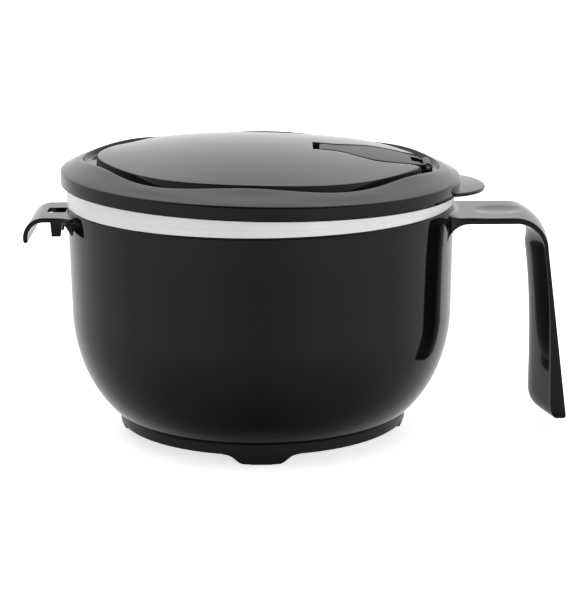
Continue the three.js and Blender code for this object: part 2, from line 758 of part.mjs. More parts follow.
/** The flap with its stopper, which swing together about the hinge pin. */
function buildFlap() {
  const swing = new THREE.Group();
  swing.add(piece("vent_flap", flap(), satinBlack), piece("vent_stopper", ventStopper(), silicone));
  return swing;
}

function buildLid() {
  const level = new THREE.Group();
  level.position.z = -LID_Z;
  level.add(
    piece("lid_body", lidBody(), glossBlack),
    piece("lid_cover", lidCover(), glossBlack),
    piece("seal_ring", sealRing(), silicone),
    piece("hinge_pin", rod(HINGE.pin, HINGE.x, HINGE.z, HINGE.halfPin), steel),
    buildFlap(),
  );
  const lid = new THREE.Group();
  lid.add(level);
  lid.position.z = LID_Z;
  lid.rotation.y = LID_TILT;
  return lid;
}

const soupBowl = new THREE.Group();
soupBowl.add(buildBowl(), buildLid());
soupBowl.position.x = AXIS_X;

export default soupBowl;
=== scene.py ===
"""A two-wall soup bowl with a snap lid, a flip-up vent flap, a carrying handle and a hanging ear.

Sizes are in millimetres about the bowl's own axis, with heights above the table, and are turned
into metres in the shared frame when a piece is finished.
"""

import logging
import math
from dataclasses import dataclass, field
from enum import Enum
from typing import Callable, Sequence, Union

import bmesh
import bpy
from mathutils import Matrix, Vector


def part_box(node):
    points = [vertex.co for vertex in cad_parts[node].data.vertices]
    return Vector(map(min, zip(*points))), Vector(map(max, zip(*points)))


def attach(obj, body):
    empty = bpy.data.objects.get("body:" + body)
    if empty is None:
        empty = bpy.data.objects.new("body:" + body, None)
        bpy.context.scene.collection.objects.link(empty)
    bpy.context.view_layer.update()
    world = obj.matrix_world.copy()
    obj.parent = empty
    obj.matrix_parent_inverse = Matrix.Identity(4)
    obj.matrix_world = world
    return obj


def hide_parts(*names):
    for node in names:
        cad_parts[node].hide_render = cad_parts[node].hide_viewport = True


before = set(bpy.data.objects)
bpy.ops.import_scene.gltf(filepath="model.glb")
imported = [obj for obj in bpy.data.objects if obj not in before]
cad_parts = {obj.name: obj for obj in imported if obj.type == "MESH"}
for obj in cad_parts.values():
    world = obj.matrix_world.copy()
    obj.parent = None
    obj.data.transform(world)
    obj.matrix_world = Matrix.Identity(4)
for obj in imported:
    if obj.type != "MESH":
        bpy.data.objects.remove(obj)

LOG = logging.getLogger("soup_bowl")
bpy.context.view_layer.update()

Point = tuple[float, float, float]
Profile = list[tuple[float, float]]
Ring = list[Point]

MM = 0.001
FULL_TURN = 2 * math.pi
MERGE = 1e-6
AROUND = 168
SMALL_AROUND = 40

BASE_LOW, BASE_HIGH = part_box("base_cap")
AXIS = (BASE_LOW.x + BASE_HIGH.x) / 2
LID_Z = 104.8
LID_TILT = math.radians(1.47)
BOWL_PLACE = Matrix.Translation((AXIS, 0, 0))
LID_PLACE = (
    Matrix.Translation((AXIS, 0, LID_Z * MM))
    @ Matrix.Rotation(LID_TILT, 4, "Y")
    @ Matrix.Translation((0, 0, -LID_Z * MM))
)


class Body(Enum):
    """The bodies of the frame that a piece can ride on."""

    BOWL = "bowl"
    LID = "lid"
    FLAP = "flap"


class Join(Enum):
    """How a second solid acts on the first."""

    ADD = "UNION"
    CUT = "DIFFERENCE"
    KEEP = "INTERSECT"


# ---------------------------------------------------------------- outlines and profiles
def lerp(start: float, end: float, share: float) -> float:
    """The number at a share of the way from start to end."""
    return start + (end - start) * share


def arc(
    centre: tuple[float, float],
    size: tuple[float, float],
    angles: tuple[float, float],
    steps: int,
) -> Profile:
    """Points on an arc or an ellipse.

    Args:
        centre: middle of the arc.
        size: its two half axes.
        angles: first and last angle in degrees.
        steps: number of stretches between points.

    Returns:
        The points in order.
    """
    points = []
    for step in range(steps + 1):
        angle = math.radians(lerp(angles[0], angles[1], step / steps))
        points.append((centre[0] + size[0] * math.cos(angle), centre[1] + size[1] * math.sin(angle)))
    return points


def fillet(radius: float, distance: float) -> float:
    """How far a fillet of that radius stands out at a distance from the wall it meets."""
    if distance >= radius:
        return 0.0
    return radius - math.sqrt(radius * radius - (radius - max(distance, 0.0)) ** 2)


def smooth_curve(points: Profile, steps: int) -> Profile:
    """A Catmull-Rom curve through the points.

    Args:
        points: the points it passes through.
        steps: stretches between two neighbouring points.

    Returns:
        The points of the curve.
    """
    padded = [points[0], *points, points[-1]]
    curve = []
    for index in range(1, len(padded) - 2):
        before, start, end, after = padded[index - 1 : index + 3]
        for step in range(steps):
            t = step / steps
            weights = (
                -0.5 * t + t * t - 0.5 * t**3,
                1 - 2.5 * t * t + 1.5 * t**3,
                0.5 * t + 2 * t * t - 1.5 * t**3,
                -0.5 * t * t + 0.5 * t**3,
            )
            corners = (before, start, end, after)
            curve.append(
                (
                    sum(w * p[0] for w, p in zip(weights, corners)),
                    sum(w * p[1] for w, p in zip(weights, corners)),
                )
            )
    return [*curve, points[-1]]


def rounded_box_outline(half_long: float, half_wide: float, corner: float, steps: int = 5) -> Profile:
    """A plan outline with rounded corners, anticlockwise about the origin."""
    middles = [(1, 1, 0), (-1, 1, 90), (-1, -1, 180), (1, -1, 270)]
    outline = []
    for across, along, turn in middles:
        centre = (across * (half_long - corner), along * (half_wide - corner))
        outline += arc(centre, (corner, corner), (turn, turn + 90), steps)
    return outline


# ---------------------------------------------------------------- modelling by edit-mode steps
def only(piece: bpy.types.Object) -> None:
    """Selects one object and makes it the active one."""
    bpy.ops.object.select_all(action="DESELECT")
    piece.select_set(True)
    bpy.context.view_layer.objects.active = piece


class Skin:
    """A skin grown ring by ring from a circle, in edit mode."""

    def __init__(self, name: str, ring: Ring) -> None:
        """Starts from a circle with one point for each point of the first ring.

        Args:
            name: the new object's name.
            ring: where its first points go, in millimetres.
        """
        bpy.ops.object.select_all(action="DESELECT")
        bpy.ops.mesh.primitive_circle_add(vertices=len(ring), radius=MM, fill_type="NOTHING")
        self.piece = bpy.context.object
        self.piece.name = name
        bpy.ops.object.mode_set(mode="EDIT")
        mesh = bmesh.from_edit_mesh(self.piece.data)
        order = mesh.verts.layers.int.new("order")
        for index, vertex in enumerate(mesh.verts):
            vertex[order] = index
        self._place(ring)

    def _place(self, ring: Ring) -> None:
        """Puts the selected points where the ring says."""
        mesh = bmesh.from_edit_mesh(self.piece.data)
        order = mesh.verts.layers.int["order"]
        for vertex in mesh.verts:
            if vertex.select:
                vertex.co = Vector(ring[vertex[order]]) * MM
        bmesh.update_edit_mesh(self.piece.data)

    def grow(self, ring: Ring) -> "Skin":
        """Extrudes the open edge and moves it to the next ring."""
        bpy.ops.mesh.extrude_region_move()
        self._place(ring)
        return self

    def close(self) -> bpy.types.Object:
        """Merges doubles, fills the open ends, turns the faces outwards and leaves edit mode."""
        bpy.ops.mesh.select_all(action="SELECT")
        bpy.ops.mesh.remove_doubles(threshold=MERGE)
        bpy.ops.mesh.fill_holes(sides=0)
        bpy.ops.mesh.select_all(action="SELECT")
        bpy.ops.mesh.normals_make_consistent(inside=False)
        if bmesh.from_edit_mesh(self.piece.data).calc_volume(signed=True) < 0:
            bpy.ops.mesh.flip_normals()
        bpy.ops.object.mode_set(mode="OBJECT")
        self.piece.data.attributes.remove(self.piece.data.attributes["order"])
        return self.piece


def skin(name: str, rings: Sequence[Ring]) -> bpy.types.Object:
    """A closed body through all the rings."""
    grown = Skin(name, rings[0])
    for ring in rings[1:]:
        grown.grow(ring)
    return grown.close()


def turned(
    name: str,
    profile: Profile,
    around: int = AROUND,
    centre: tuple[float, float] = (0.0, 0.0),
    push: Union[Callable[[float, float, float], tuple[float, float]], None] = None,
) -> bpy.types.Object:
    """A body of revolution about an upright axis.

    Args:
        name: the new object's name.
        profile: radius and height of each ring.
        around: points in a ring.
        centre: where the axis stands.
        push: extra radius and height by radius, height and angle, for a scalloped edge.

    Returns:
        The closed body.
    """
    rings = []
    for radius, height in profile:
        ring = []
        for index in range(around):
            angle = FULL_TURN * index / around
            out, rise = push(radius, height, angle) if push else (0.0, 0.0)
            reach = radius + out
            ring.append(
                (centre[0] + reach * math.cos(angle), centre[1] + reach * math.sin(angle), height + rise)
            )
        rings.append(ring)
    return skin(name, rings)


def post(name: str, radius: float, low: float, high: float, centre: tuple[float, float]) -> bpy.types.Object:
    """A round post with flat ends."""
    return turned(name, [(0, low), (radius, low), (radius, high), (0, high)], SMALL_AROUND, centre)


def standing(name: str, outline: Profile, low: float, high: float) -> bpy.types.Object:
    """A plan outline standing between two heights."""
    return skin(name, [[(x, y, z) for x, y in outline] for z in (low, high)])


def across(name: str, outline: Profile, start: float, end: float) -> bpy.types.Object:
    """A side outline in x and z, wide from one y to another."""
    return skin(name, [[(x, y, z) for x, z in outline] for y in (start, end)])


def block(name: str, low: Point, high: Point) -> bpy.types.Object:
    """A box between two corners."""
    outline = [(low[0], low[1]), (high[0], low[1]), (high[0], high[1]), (low[0], high[1])]
    return standing(name, outline, low[2], high[2])


def rod(name: str, radius: float, x: float, z: float, half: float, edge: float) -> bpy.types.Object:
    """A pin along y with rounded ends."""
    ends = arc((0, half - edge), (edge, edge), (0, 90), 4)
    profile = [(radius - edge + r, y) for r, y in ends]
    profile = [(0, -half), *[(r, -y) for r, y in reversed(profile)], *profile, (0, half)]
    rings = []
    for reach, y in profile:
        ring = []
        for index in range(SMALL_AROUND):
            angle = FULL_TURN * index / SMALL_AROUND
            ring.append((x + reach * math.cos(angle), y, z + reach * math.sin(angle)))
        rings.append(ring)
    return skin(name, rings)


def combine(piece: bpy.types.Object, tool: bpy.types.Object, how: Join) -> bpy.types.Object:
    """Joins a second solid to a piece, or cuts it away, and removes the second one.

    Args:
        piece: the solid that stays.
        tool: the solid that acts on it.
        how: add, cut or keep what both share.

    Returns:
        The piece.
    """
    only(piece)
    bpy.ops.object.modifier_add(type="BOOLEAN")
    modifier = piece.modifiers[-1]
    modifier.operation = how.value
    modifier.solver = "EXACT"
    modifier.use_hole_tolerant = True
    modifier.object = tool
    bpy.ops.object.modifier_apply(modifier=modifier.name)
    bpy.data.objects.remove(tool)
    return piece


def together(pieces: Sequence[bpy.types.Object]) -> bpy.types.Object:
    """Several objects that don't touch as one."""
    only(pieces[0])
    for piece in pieces[1:]:
        piece.select_set(True)
    bpy.ops.object.join()
    return pieces[0]


def round_edges(
    piece: bpy.types.Object, width: float, segments: int = 3, angle: float = 40
) -> bpy.types.Object:
    """Rounds the edges that turn by more than an angle.

    Args:
        piece: the solid.
        width: size of the rounding in millimetres.
        segments: faces across the rounding.
        angle: least angle of an edge in degrees.

    Returns:
        The piece.
    """
    only(piece)
    bpy.ops.object.modifier_add(type="BEVEL")
    modifier = piece.modifiers[-1]
    modifier.width = width * MM
    modifier.segments = segments
    modifier.limit_method = "ANGLE"
    modifier.angle_limit = math.radians(angle)
    modifier.miter_outer = "MITER_ARC"
    bpy.ops.object.modifier_apply(modifier=modifier.name)
    return piece


def turned_copy(piece: bpy.types.Object, name: str, angle: float) -> bpy.types.Object:
    """A copy with its own mesh, turned about the bowl's axis."""
    copy = piece.copy()
    copy.data = piece.data.copy()
    copy.name = name
    bpy.context.scene.collection.objects.link(copy)
    copy.data.transform(Matrix.Rotation(angle, 4, "Z"))
    return copy


# ---------------------------------------------------------------- shader work
Value = Union["Wire", float, int]


class Wire:
    """An output of a node, with the arithmetic that adds Math nodes."""

    def __init__(self, recipe: "Recipe", socket: bpy.types.NodeSocket) -> None:
        """Wraps one socket of a recipe."""
        self.recipe = recipe
        self.socket = socket

    def maths(self, operation: str, *values: Value) -> "Wire":
        """A Math node with this value first."""
        inputs = dict(enumerate((self, *values)))
        return self.recipe.node("ShaderNodeMath", {"operation": operation}, inputs)

    def flipped(self, operation: str, first: Value) -> "Wire":
        """A Math node with this value second."""
        return self.recipe.node("ShaderNodeMath", {"operation": operation}, {0: first, 1: self})

    def __add__(self, other: Value) -> "Wire":
        """This value plus another."""
        return self.maths("ADD", other)

    __radd__ = __add__

    def __sub__(self, other: Value) -> "Wire":
        """This value less another."""
        return self.maths("SUBTRACT", other)

    def __rsub__(self, other: Value) -> "Wire":
        """Another value less this one."""
        return self.flipped("SUBTRACT", other)

    def __mul__(self, other: Value) -> "Wire":
        """This value times another."""
        return self.maths("MULTIPLY", other)

    __rmul__ = __mul__

    def __truediv__(self, other: Value) -> "Wire":
        """This value over another."""
        return self.maths("DIVIDE", other)


class Recipe:
    """The nodes of one material, with a Principled shader at the end."""

    def __init__(self, name: str) -> None:
        """Makes an empty material with its shader and output."""
        self.material = bpy.data.materials.new(name)
        self.material.use_nodes = True
        self.tree = self.material.node_tree
        self.tree.nodes.clear()
        self.shader = self.tree.nodes.new("ShaderNodeBsdfPrincipled")
        output = self.tree.nodes.new("ShaderNodeOutputMaterial")
        self.tree.links.new(self.shader.outputs[0], output.inputs["Surface"])

    def node(self, kind: str, settings: dict, inputs: dict, output: Union[int, str] = 0) -> Wire:
        """Adds a node.

        Args:
            kind: the node's type.
            settings: its own settings; "stops" sets a colour ramp.
            inputs: values or wires for its sockets.
            output: which output to hand back.

        Returns:
            The wire of that output.
        """
        made = self.tree.nodes.new(kind)
        for key, value in settings.items():
            if key == "stops":
                ramp = made.color_ramp
                while len(ramp.elements) < len(value):
                    ramp.elements.new(0.5)
                for element, (place, grey) in zip(ramp.elements, value):
                    element.position = place
                    element.color = (grey, grey, grey, 1)
            else:
                setattr(made, key, value)
        for key, value in inputs.items():
            if isinstance(value, Wire):
                self.tree.links.new(value.socket, made.inputs[key])
            else:
                made.inputs[key].default_value = value
        return Wire(self, made.outputs[output])

    def place(self) -> Wire:
        """Object coordinates, which are the shared frame's metres."""
        return self.node("ShaderNodeTexCoord", {}, {}, "Object")

    def noise(self, where: Wire, scale: float, detail: float = 3.0) -> Wire:
        """Soft noise from 0 to 1."""
        return self.node("ShaderNodeTexNoise", {}, {"Vector": where, "Scale": scale, "Detail": detail})

    def mixed(self, share: Wire, first: Sequence[float], second: Sequence[float]) -> Wire:
        """A colour between two, by a share."""
        settings = {"data_type": "RGBA"}
        inputs = {0: share, 6: (*first, 1), 7: (*second, 1)}
        return self.node("ShaderNodeMix", settings, inputs, 2)

    def bump(self, height: Wire, strength: float, distance: float) -> Wire:
        """A normal from a height."""
        inputs = {"Height": height, "Strength": strength, "Distance": distance}
        return self.node("ShaderNodeBump", {}, inputs)

    def set(self, **sockets: Union[Wire, float, tuple]) -> bpy.types.Material:
        """Fills the shader's sockets, where an underscore stands for a space."""
        for key, value in sockets.items():
            socket = self.shader.inputs[key.replace("_", " ")]
            if isinstance(value, Wire):
                self.tree.links.new(value.socket, socket)
            else:
                socket.default_value = value
        return self.material


def grey(value: float) -> tuple[float, float, float]:
    """A neutral colour."""
    return (value, value, value)


@dataclass(frozen=True)
class MouldedPlastic:
    """Injection-moulded plastic: a faint flow pattern and a fine surface grain."""

    name: str
    colour: float
    roughness: float
    spread: float
    grain_scale: float
    grain_height: float
    ripple_height: float
    mirror: float

    def material(self) -> bpy.types.Material:
        """The finish as a material."""
        recipe = Recipe(self.name)
        where = recipe.place()
        flow = recipe.noise(where, 28)
        specks = recipe.noise(where, 900, 1)
        grain = recipe.noise(where, self.grain_scale, 2)
        height = grain * self.grain_height + recipe.noise(where, 36, 0) * self.ripple_height
        return recipe.set(
            Base_Color=recipe.mixed(flow, grey(self.colour * 0.85), grey(self.colour * 1.2)),
            Roughness=flow * self.spread + specks * self.spread + (self.roughness - self.spread),
            Normal=recipe.bump(height, 1.0, 1.0),
            Specular_IOR_Level=self.mirror,
        )


@dataclass(frozen=True)
class BrushedSteel:
    """Stainless sheet brushed round the bowl's axis."""

    name: str
    colour: float
    roughness: float
    metallic: float
    lines: float

    def material(self) -> bpy.types.Material:
        """The finish as a material."""
        recipe = Recipe(self.name)
        split = recipe.node("ShaderNodeSeparateXYZ", {}, {0: recipe.place()})
        x = Wire(recipe, split.socket.node.outputs[0]) - AXIS
        y = Wire(recipe, split.socket.node.outputs[1])
        z = Wire(recipe, split.socket.node.outputs[2])
        reach = (x * x + y * y).maths("SQRT")
        round_about = x.maths("ARCTAN2", y)
        long_way = recipe.node(
            "ShaderNodeCombineXYZ", {}, {0: round_about * 0.9, 1: z * self.lines, 2: reach * self.lines}
        )
        streaks = recipe.noise(long_way, 1.0, 4)
        clouds = recipe.noise(recipe.place(), 30, 2)
        return recipe.set(
            Base_Color=recipe.mixed(
                streaks * 0.75 + clouds * 0.25, grey(self.colour * 0.82), grey(self.colour * 1.1)
            ),
            Metallic=self.metallic,
            Roughness=streaks * 0.12 + (self.roughness - 0.06),
            Normal=recipe.bump(streaks, 1.0, 0.000012),
        )


@dataclass(frozen=True)
class PlatedSteel:
    """Zinc-plated steel with a soft mottle."""

    name: str
    colour: float
    roughness: float

    def material(self) -> bpy.types.Material:
        """The finish as a material."""
        recipe = Recipe(self.name)
        mottle = recipe.noise(recipe.place(), 700, 3)
        return recipe.set(
            Base_Color=recipe.mixed(mottle, grey(self.colour * 0.8), grey(self.colour * 1.15)),
            Metallic=1.0,
            Roughness=mottle * 0.16 + (self.roughness - 0.08),
            Normal=recipe.bump(mottle, 1.0, 0.00001),
        )


@dataclass(frozen=True)
class SoftRubber:
    """Rubber or silicone with a powdery matt skin."""

    name: str
    colour: float
    roughness: float

    def material(self) -> bpy.types.Material:
        """The finish as a material."""
        recipe = Recipe(self.name)
        where = recipe.place()
        dust = recipe.noise(where, 180, 4)
        pores = recipe.noise(where, 3200, 1)
        return recipe.set(
            Base_Color=recipe.mixed(dust, grey(self.colour * 0.85), grey(self.colour * 1.25)),
            Roughness=dust * 0.14 + (self.roughness - 0.07),
            Normal=recipe.bump(pores, 1.0, 0.00004),
        )


@dataclass(frozen=True)
class Finish:
    """One finish of the bowl with the record's slot that it belongs to."""

    slot: str
    look: Union[MouldedPlastic, BrushedSteel, PlatedSteel, SoftRubber]


FINISHES = {
    finish.slot: finish
    for finish in (
        Finish(
            "gloss_black",
            MouldedPlastic("gloss_black_plastic", 0.0026, 0.055, 0.03, 1500, 4e-7, 1.6e-5, 0.5),
        ),
        Finish(
            "satin_black",
            MouldedPlastic("satin_black_plastic", 0.0045, 0.34, 0.07, 2600, 1.6e-5, 1e-5, 0.3),
        ),
        Finish("brushed_steel", BrushedSteel("brushed_stainless", 0.93, 0.4, 0.6, 3600)),
        Finish("zinc_steel", PlatedSteel("zinc_plated_steel", 0.6, 0.36)),
        Finish("silicone", SoftRubber("white_silicone", 0.62, 0.5)),
        Finish("pad_rubber", SoftRubber("dark_pad_rubber", 0.018, 0.78)),
    )
}


class Paint:
    """Makes each material once and puts it on pieces and on frame nodes."""

    def __init__(self) -> None:
        """Starts with no material made."""
        self.made: dict[str, bpy.types.Material] = {}

    def material(self, slot: str) -> bpy.types.Material:
        """The material of a slot."""
        if slot not in self.made:
            self.made[slot] = FINISHES[slot].look.material()
        return self.made[slot]

    def dress(self, piece: bpy.types.Object, slot: str) -> None:
        """Gives a piece one finish all over."""
        piece.data.materials.clear()
        piece.data.materials.append(self.material(slot))

    def dress_node(self, node: str, slot: str) -> None:
        """Gives a frame node that stays in sight its finish, without touching its mesh."""
        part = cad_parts[node]
        if not part.material_slots:
            part.data.materials.append(None)
        for place in part.material_slots:
            place.material = self.material(slot)
        LOG.info("kept %s in %s", node, slot)


PAINT = Paint()


def hand_over(
    piece: bpy.types.Object,
    place: Matrix,
    body: Body,
    slot: str,
    nodes: Sequence[str],
    crease: float = 32,
) -> bpy.types.Object:
    """Puts a finished piece in the shared frame, dresses it, hangs it on its body and hides the frame nodes
    that it stands for.

    Args:
        piece: the finished solid, in metres about the bowl's axis.
        place: its place in the shared frame.
        body: the body that carries it.
        slot: its finish.
        nodes: the frame nodes that it stands for.
        crease: edges sharper than this angle in degrees stay crisp.

    Returns:
        The piece.
    """
    piece.data.transform(place)
    only(piece)
    bpy.ops.object.shade_smooth_by_angle(angle=math.radians(crease))
    PAINT.dress(piece, slot)
    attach(piece, body.value)
    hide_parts(*nodes)
    LOG.info("made %s on %s with %d faces", piece.name, body.value, len(piece.data.polygons))
    return piece


# ---------------------------------------------------------------- the bowl
@dataclass
class Shell:
    """The black outer bowl: a round bottom, a nearly upright wall and a neck for the liner."""

    seat: float = 10.0
    floor: float = 12.4
    centre_under: float = 14.2
    centre_floor: float = 16.6
    centre_radius: float = 13.0
    belly_z: float = 53.8
    belly_radius: float = 79.65
    wide: float = 38.26
    deep: float = 51.33
    top_z: float = 97.74
    top_radius: float = 80.5
    wall: float = 2.2
    neck_z: float = 103.6
    neck_outer: float = 79.3
    neck_inner: float = 77.8
    edge: float = 0.6

    def radius(self, height: float) -> float:
        """Outer radius at a height."""
        if height >= self.belly_z:
            share = (height - self.belly_z) / (self.top_z - self.belly_z)
            return lerp(self.belly_radius, self.top_radius, share)
        down = (self.belly_z - height) / self.deep
        return self.belly_radius - self.wide * (1 - math.sqrt(1 - down * down))

    def bowl_curve(self, inset: float, lowest: float, steps: int) -> Profile:
        """The round bottom from a height up to the belly, drawn in by inset."""
        size = (self.wide - inset, self.deep - inset)
        start = math.degrees(math.asin((lowest - self.belly_z) / size[1]))
        return arc((self.belly_radius - self.wide, self.belly_z), size, (start, 0), steps)

    def build(self) -> bpy.types.Object:
        """The shell with its screw bosses and the hole of the liner's stud."""
        profile = [
            (0, self.centre_under),
            (self.centre_radius, self.centre_under),
            (self.centre_radius + 2, self.seat),
            *self.bowl_curve(0, self.seat, 36),
            (lerp(self.belly_radius, self.top_radius, 0.33), lerp(self.belly_z, self.top_z, 0.33)),
            (lerp(self.belly_radius, self.top_radius, 0.66), lerp(self.belly_z, self.top_z, 0.66)),
            *arc(
                (self.top_radius - self.edge, self.top_z - self.edge), (self.edge, self.edge), (0, 90), 5
            ),
            (self.neck_outer, self.top_z),
            *arc((self.neck_outer - 0.3, self.neck_z - 0.3), (0.3, 0.3), (0, 90), 3),
            *arc((self.neck_inner + 0.3, self.neck_z - 0.3), (0.3, 0.3), (90, 180), 3),
            (self.neck_inner, self.top_z),
            (self.top_radius - self.wall, self.top_z - 3),
            *reversed(self.bowl_curve(self.wall, self.floor, 20)),
            (self.centre_radius + 3, self.floor),
            (self.centre_radius + 1, self.centre_floor),
            (0, self.centre_floor),
        ]
        shell = turned("bowl_shell", profile)
        screws = BaseScrew()
        bosses = [post("boss", screws.boss, self.floor - 1, screws.tip + 1.6, at) for at in screws.places()]
        shell = combine(shell, together(bosses), Join.ADD)
        holes = [post("hole", screws.shank + 0.3, 0, screws.tip + 0.3, at) for at in screws.places()]
        holes.append(post("stud_hole", 2.9, 0, 30, (0, 0)))
        shell = combine(shell, together(holes), Join.CUT)
        return hand_over(shell, BOWL_PLACE, Body.BOWL, "gloss_black", ["outer_shell"])


@dataclass
class Liner:
    """The stainless inner bowl, whose rolled rim folds over the neck as a bright band."""

    sheet: float = 0.9
    bottom: float = 20.7
    flat: float = 41.0
    belly_z: float = 57.0
    belly_radius: float = 75.3
    mouth: float = 75.8
    rim_z: float = 107.0
    roll: float = 1.2
    curtain: float = 80.5
    curtain_low: float = 98.04
    lip: float = 0.4

    def build(self) -> bpy.types.Object:
        """The liner from its bottom over the rim to the lower edge of the band."""
        outside = self.belly_radius + self.sheet
        roll_z = self.rim_z - self.roll
        rim_inner = (self.mouth + self.roll, roll_z)
        rim_outer = (self.curtain - self.roll, roll_z)
        depth = self.belly_z - self.bottom
        under = self.rim_z - self.sheet
        profile = [
            (0, self.bottom - self.sheet),
            *arc((self.flat, self.belly_z), (outside - self.flat, depth + self.sheet), (-90, 0), 28),
            (self.mouth + self.sheet, roll_z - 4),
            (self.mouth + self.sheet, roll_z - 0.6),
            (self.mouth + self.sheet + 0.9, under),
            (self.curtain - self.sheet - 0.9, under),
            (self.curtain - self.sheet, roll_z - 0.6),
            (self.curtain - self.sheet, self.curtain_low + self.lip),
            *arc(
                (self.curtain - self.lip, self.curtain_low + self.lip), (self.lip, self.lip), (-90, 0), 4
            ),
            (self.curtain, self.curtain_low + 1.2),
            *arc(rim_outer, (self.roll, self.roll), (0, 90), 7),
            *arc(rim_inner, (self.roll, self.roll), (90, 180), 7),
            (self.mouth, roll_z - 4),
            *arc((self.flat, self.belly_z), (self.belly_radius - self.flat, depth), (0, -90), 28),
            (self.flat / 2, self.bottom),
            (0, self.bottom),
        ]
        liner = turned("bowl_liner", profile)
        return hand_over(liner, BOWL_PLACE, Body.BOWL, "brushed_steel", ["steel_liner"], 40)


@dataclass
class BaseScrew:
    """The four countersunk screws that hold the base to the shell."""

    at: float = 48.0
    head: float = 3.0
    head_low: float = 6.0
    head_top: float = 7.6
    shank: float = 1.45
    tip: float = 17.0
    boss: float = 3.6
    count: int = 4

    def places(self) -> list[tuple[float, float]]:
        """Where the screws stand, between the feet."""
        angles = [FULL_TURN * (index + 0.5) / self.count for index in range(self.count)]
        return [(self.at * math.cos(angle), self.at * math.sin(angle)) for angle in angles]

    def build(self) -> None:
        """One screw with a domed head and a cross, and its three copies."""
        first = self.places()[0]
        profile = [
            (0, self.head_low),
            *arc((self.head - 1.1, self.head_low + 0.7), (1.1, 0.7), (-90, 0), 5),
            (self.head, self.head_top),
            (self.shank, self.head_top),
        ]
        height = self.head_top
        while height < self.tip - 2.4:
            profile += [(self.shank, height + 0.25), (self.shank - 0.3, height + 0.6)]
            profile += [(self.shank, height + 0.95)]
            height += 1.0
        profile += [(self.shank - 0.3, self.tip - 1.2), (0, self.tip)]
        screw = turned("bowl_screw_1", profile, SMALL_AROUND, first)
        long_arm = block("slot", (first[0] - 1.7, first[1] - 0.4, 0), (first[0] + 1.7, first[1] + 0.4, 6.9))
        short_arm = block("slot", (first[0] - 0.4, first[1] - 1.7, 0), (first[0] + 0.4, first[1] + 1.7, 6.9))
        screw = combine(combine(screw, long_arm, Join.CUT), short_arm, Join.CUT)
        screws = [screw]
        for index in range(1, self.count):
            angle = FULL_TURN * index / self.count
            screws.append(turned_copy(screw, f"bowl_screw_{index + 1}", angle))
        for index, made in enumerate(screws):
            node = f"base_screw_{index + 1}"
            hand_over(made, BOWL_PLACE, Body.BOWL, "zinc_steel", [node])


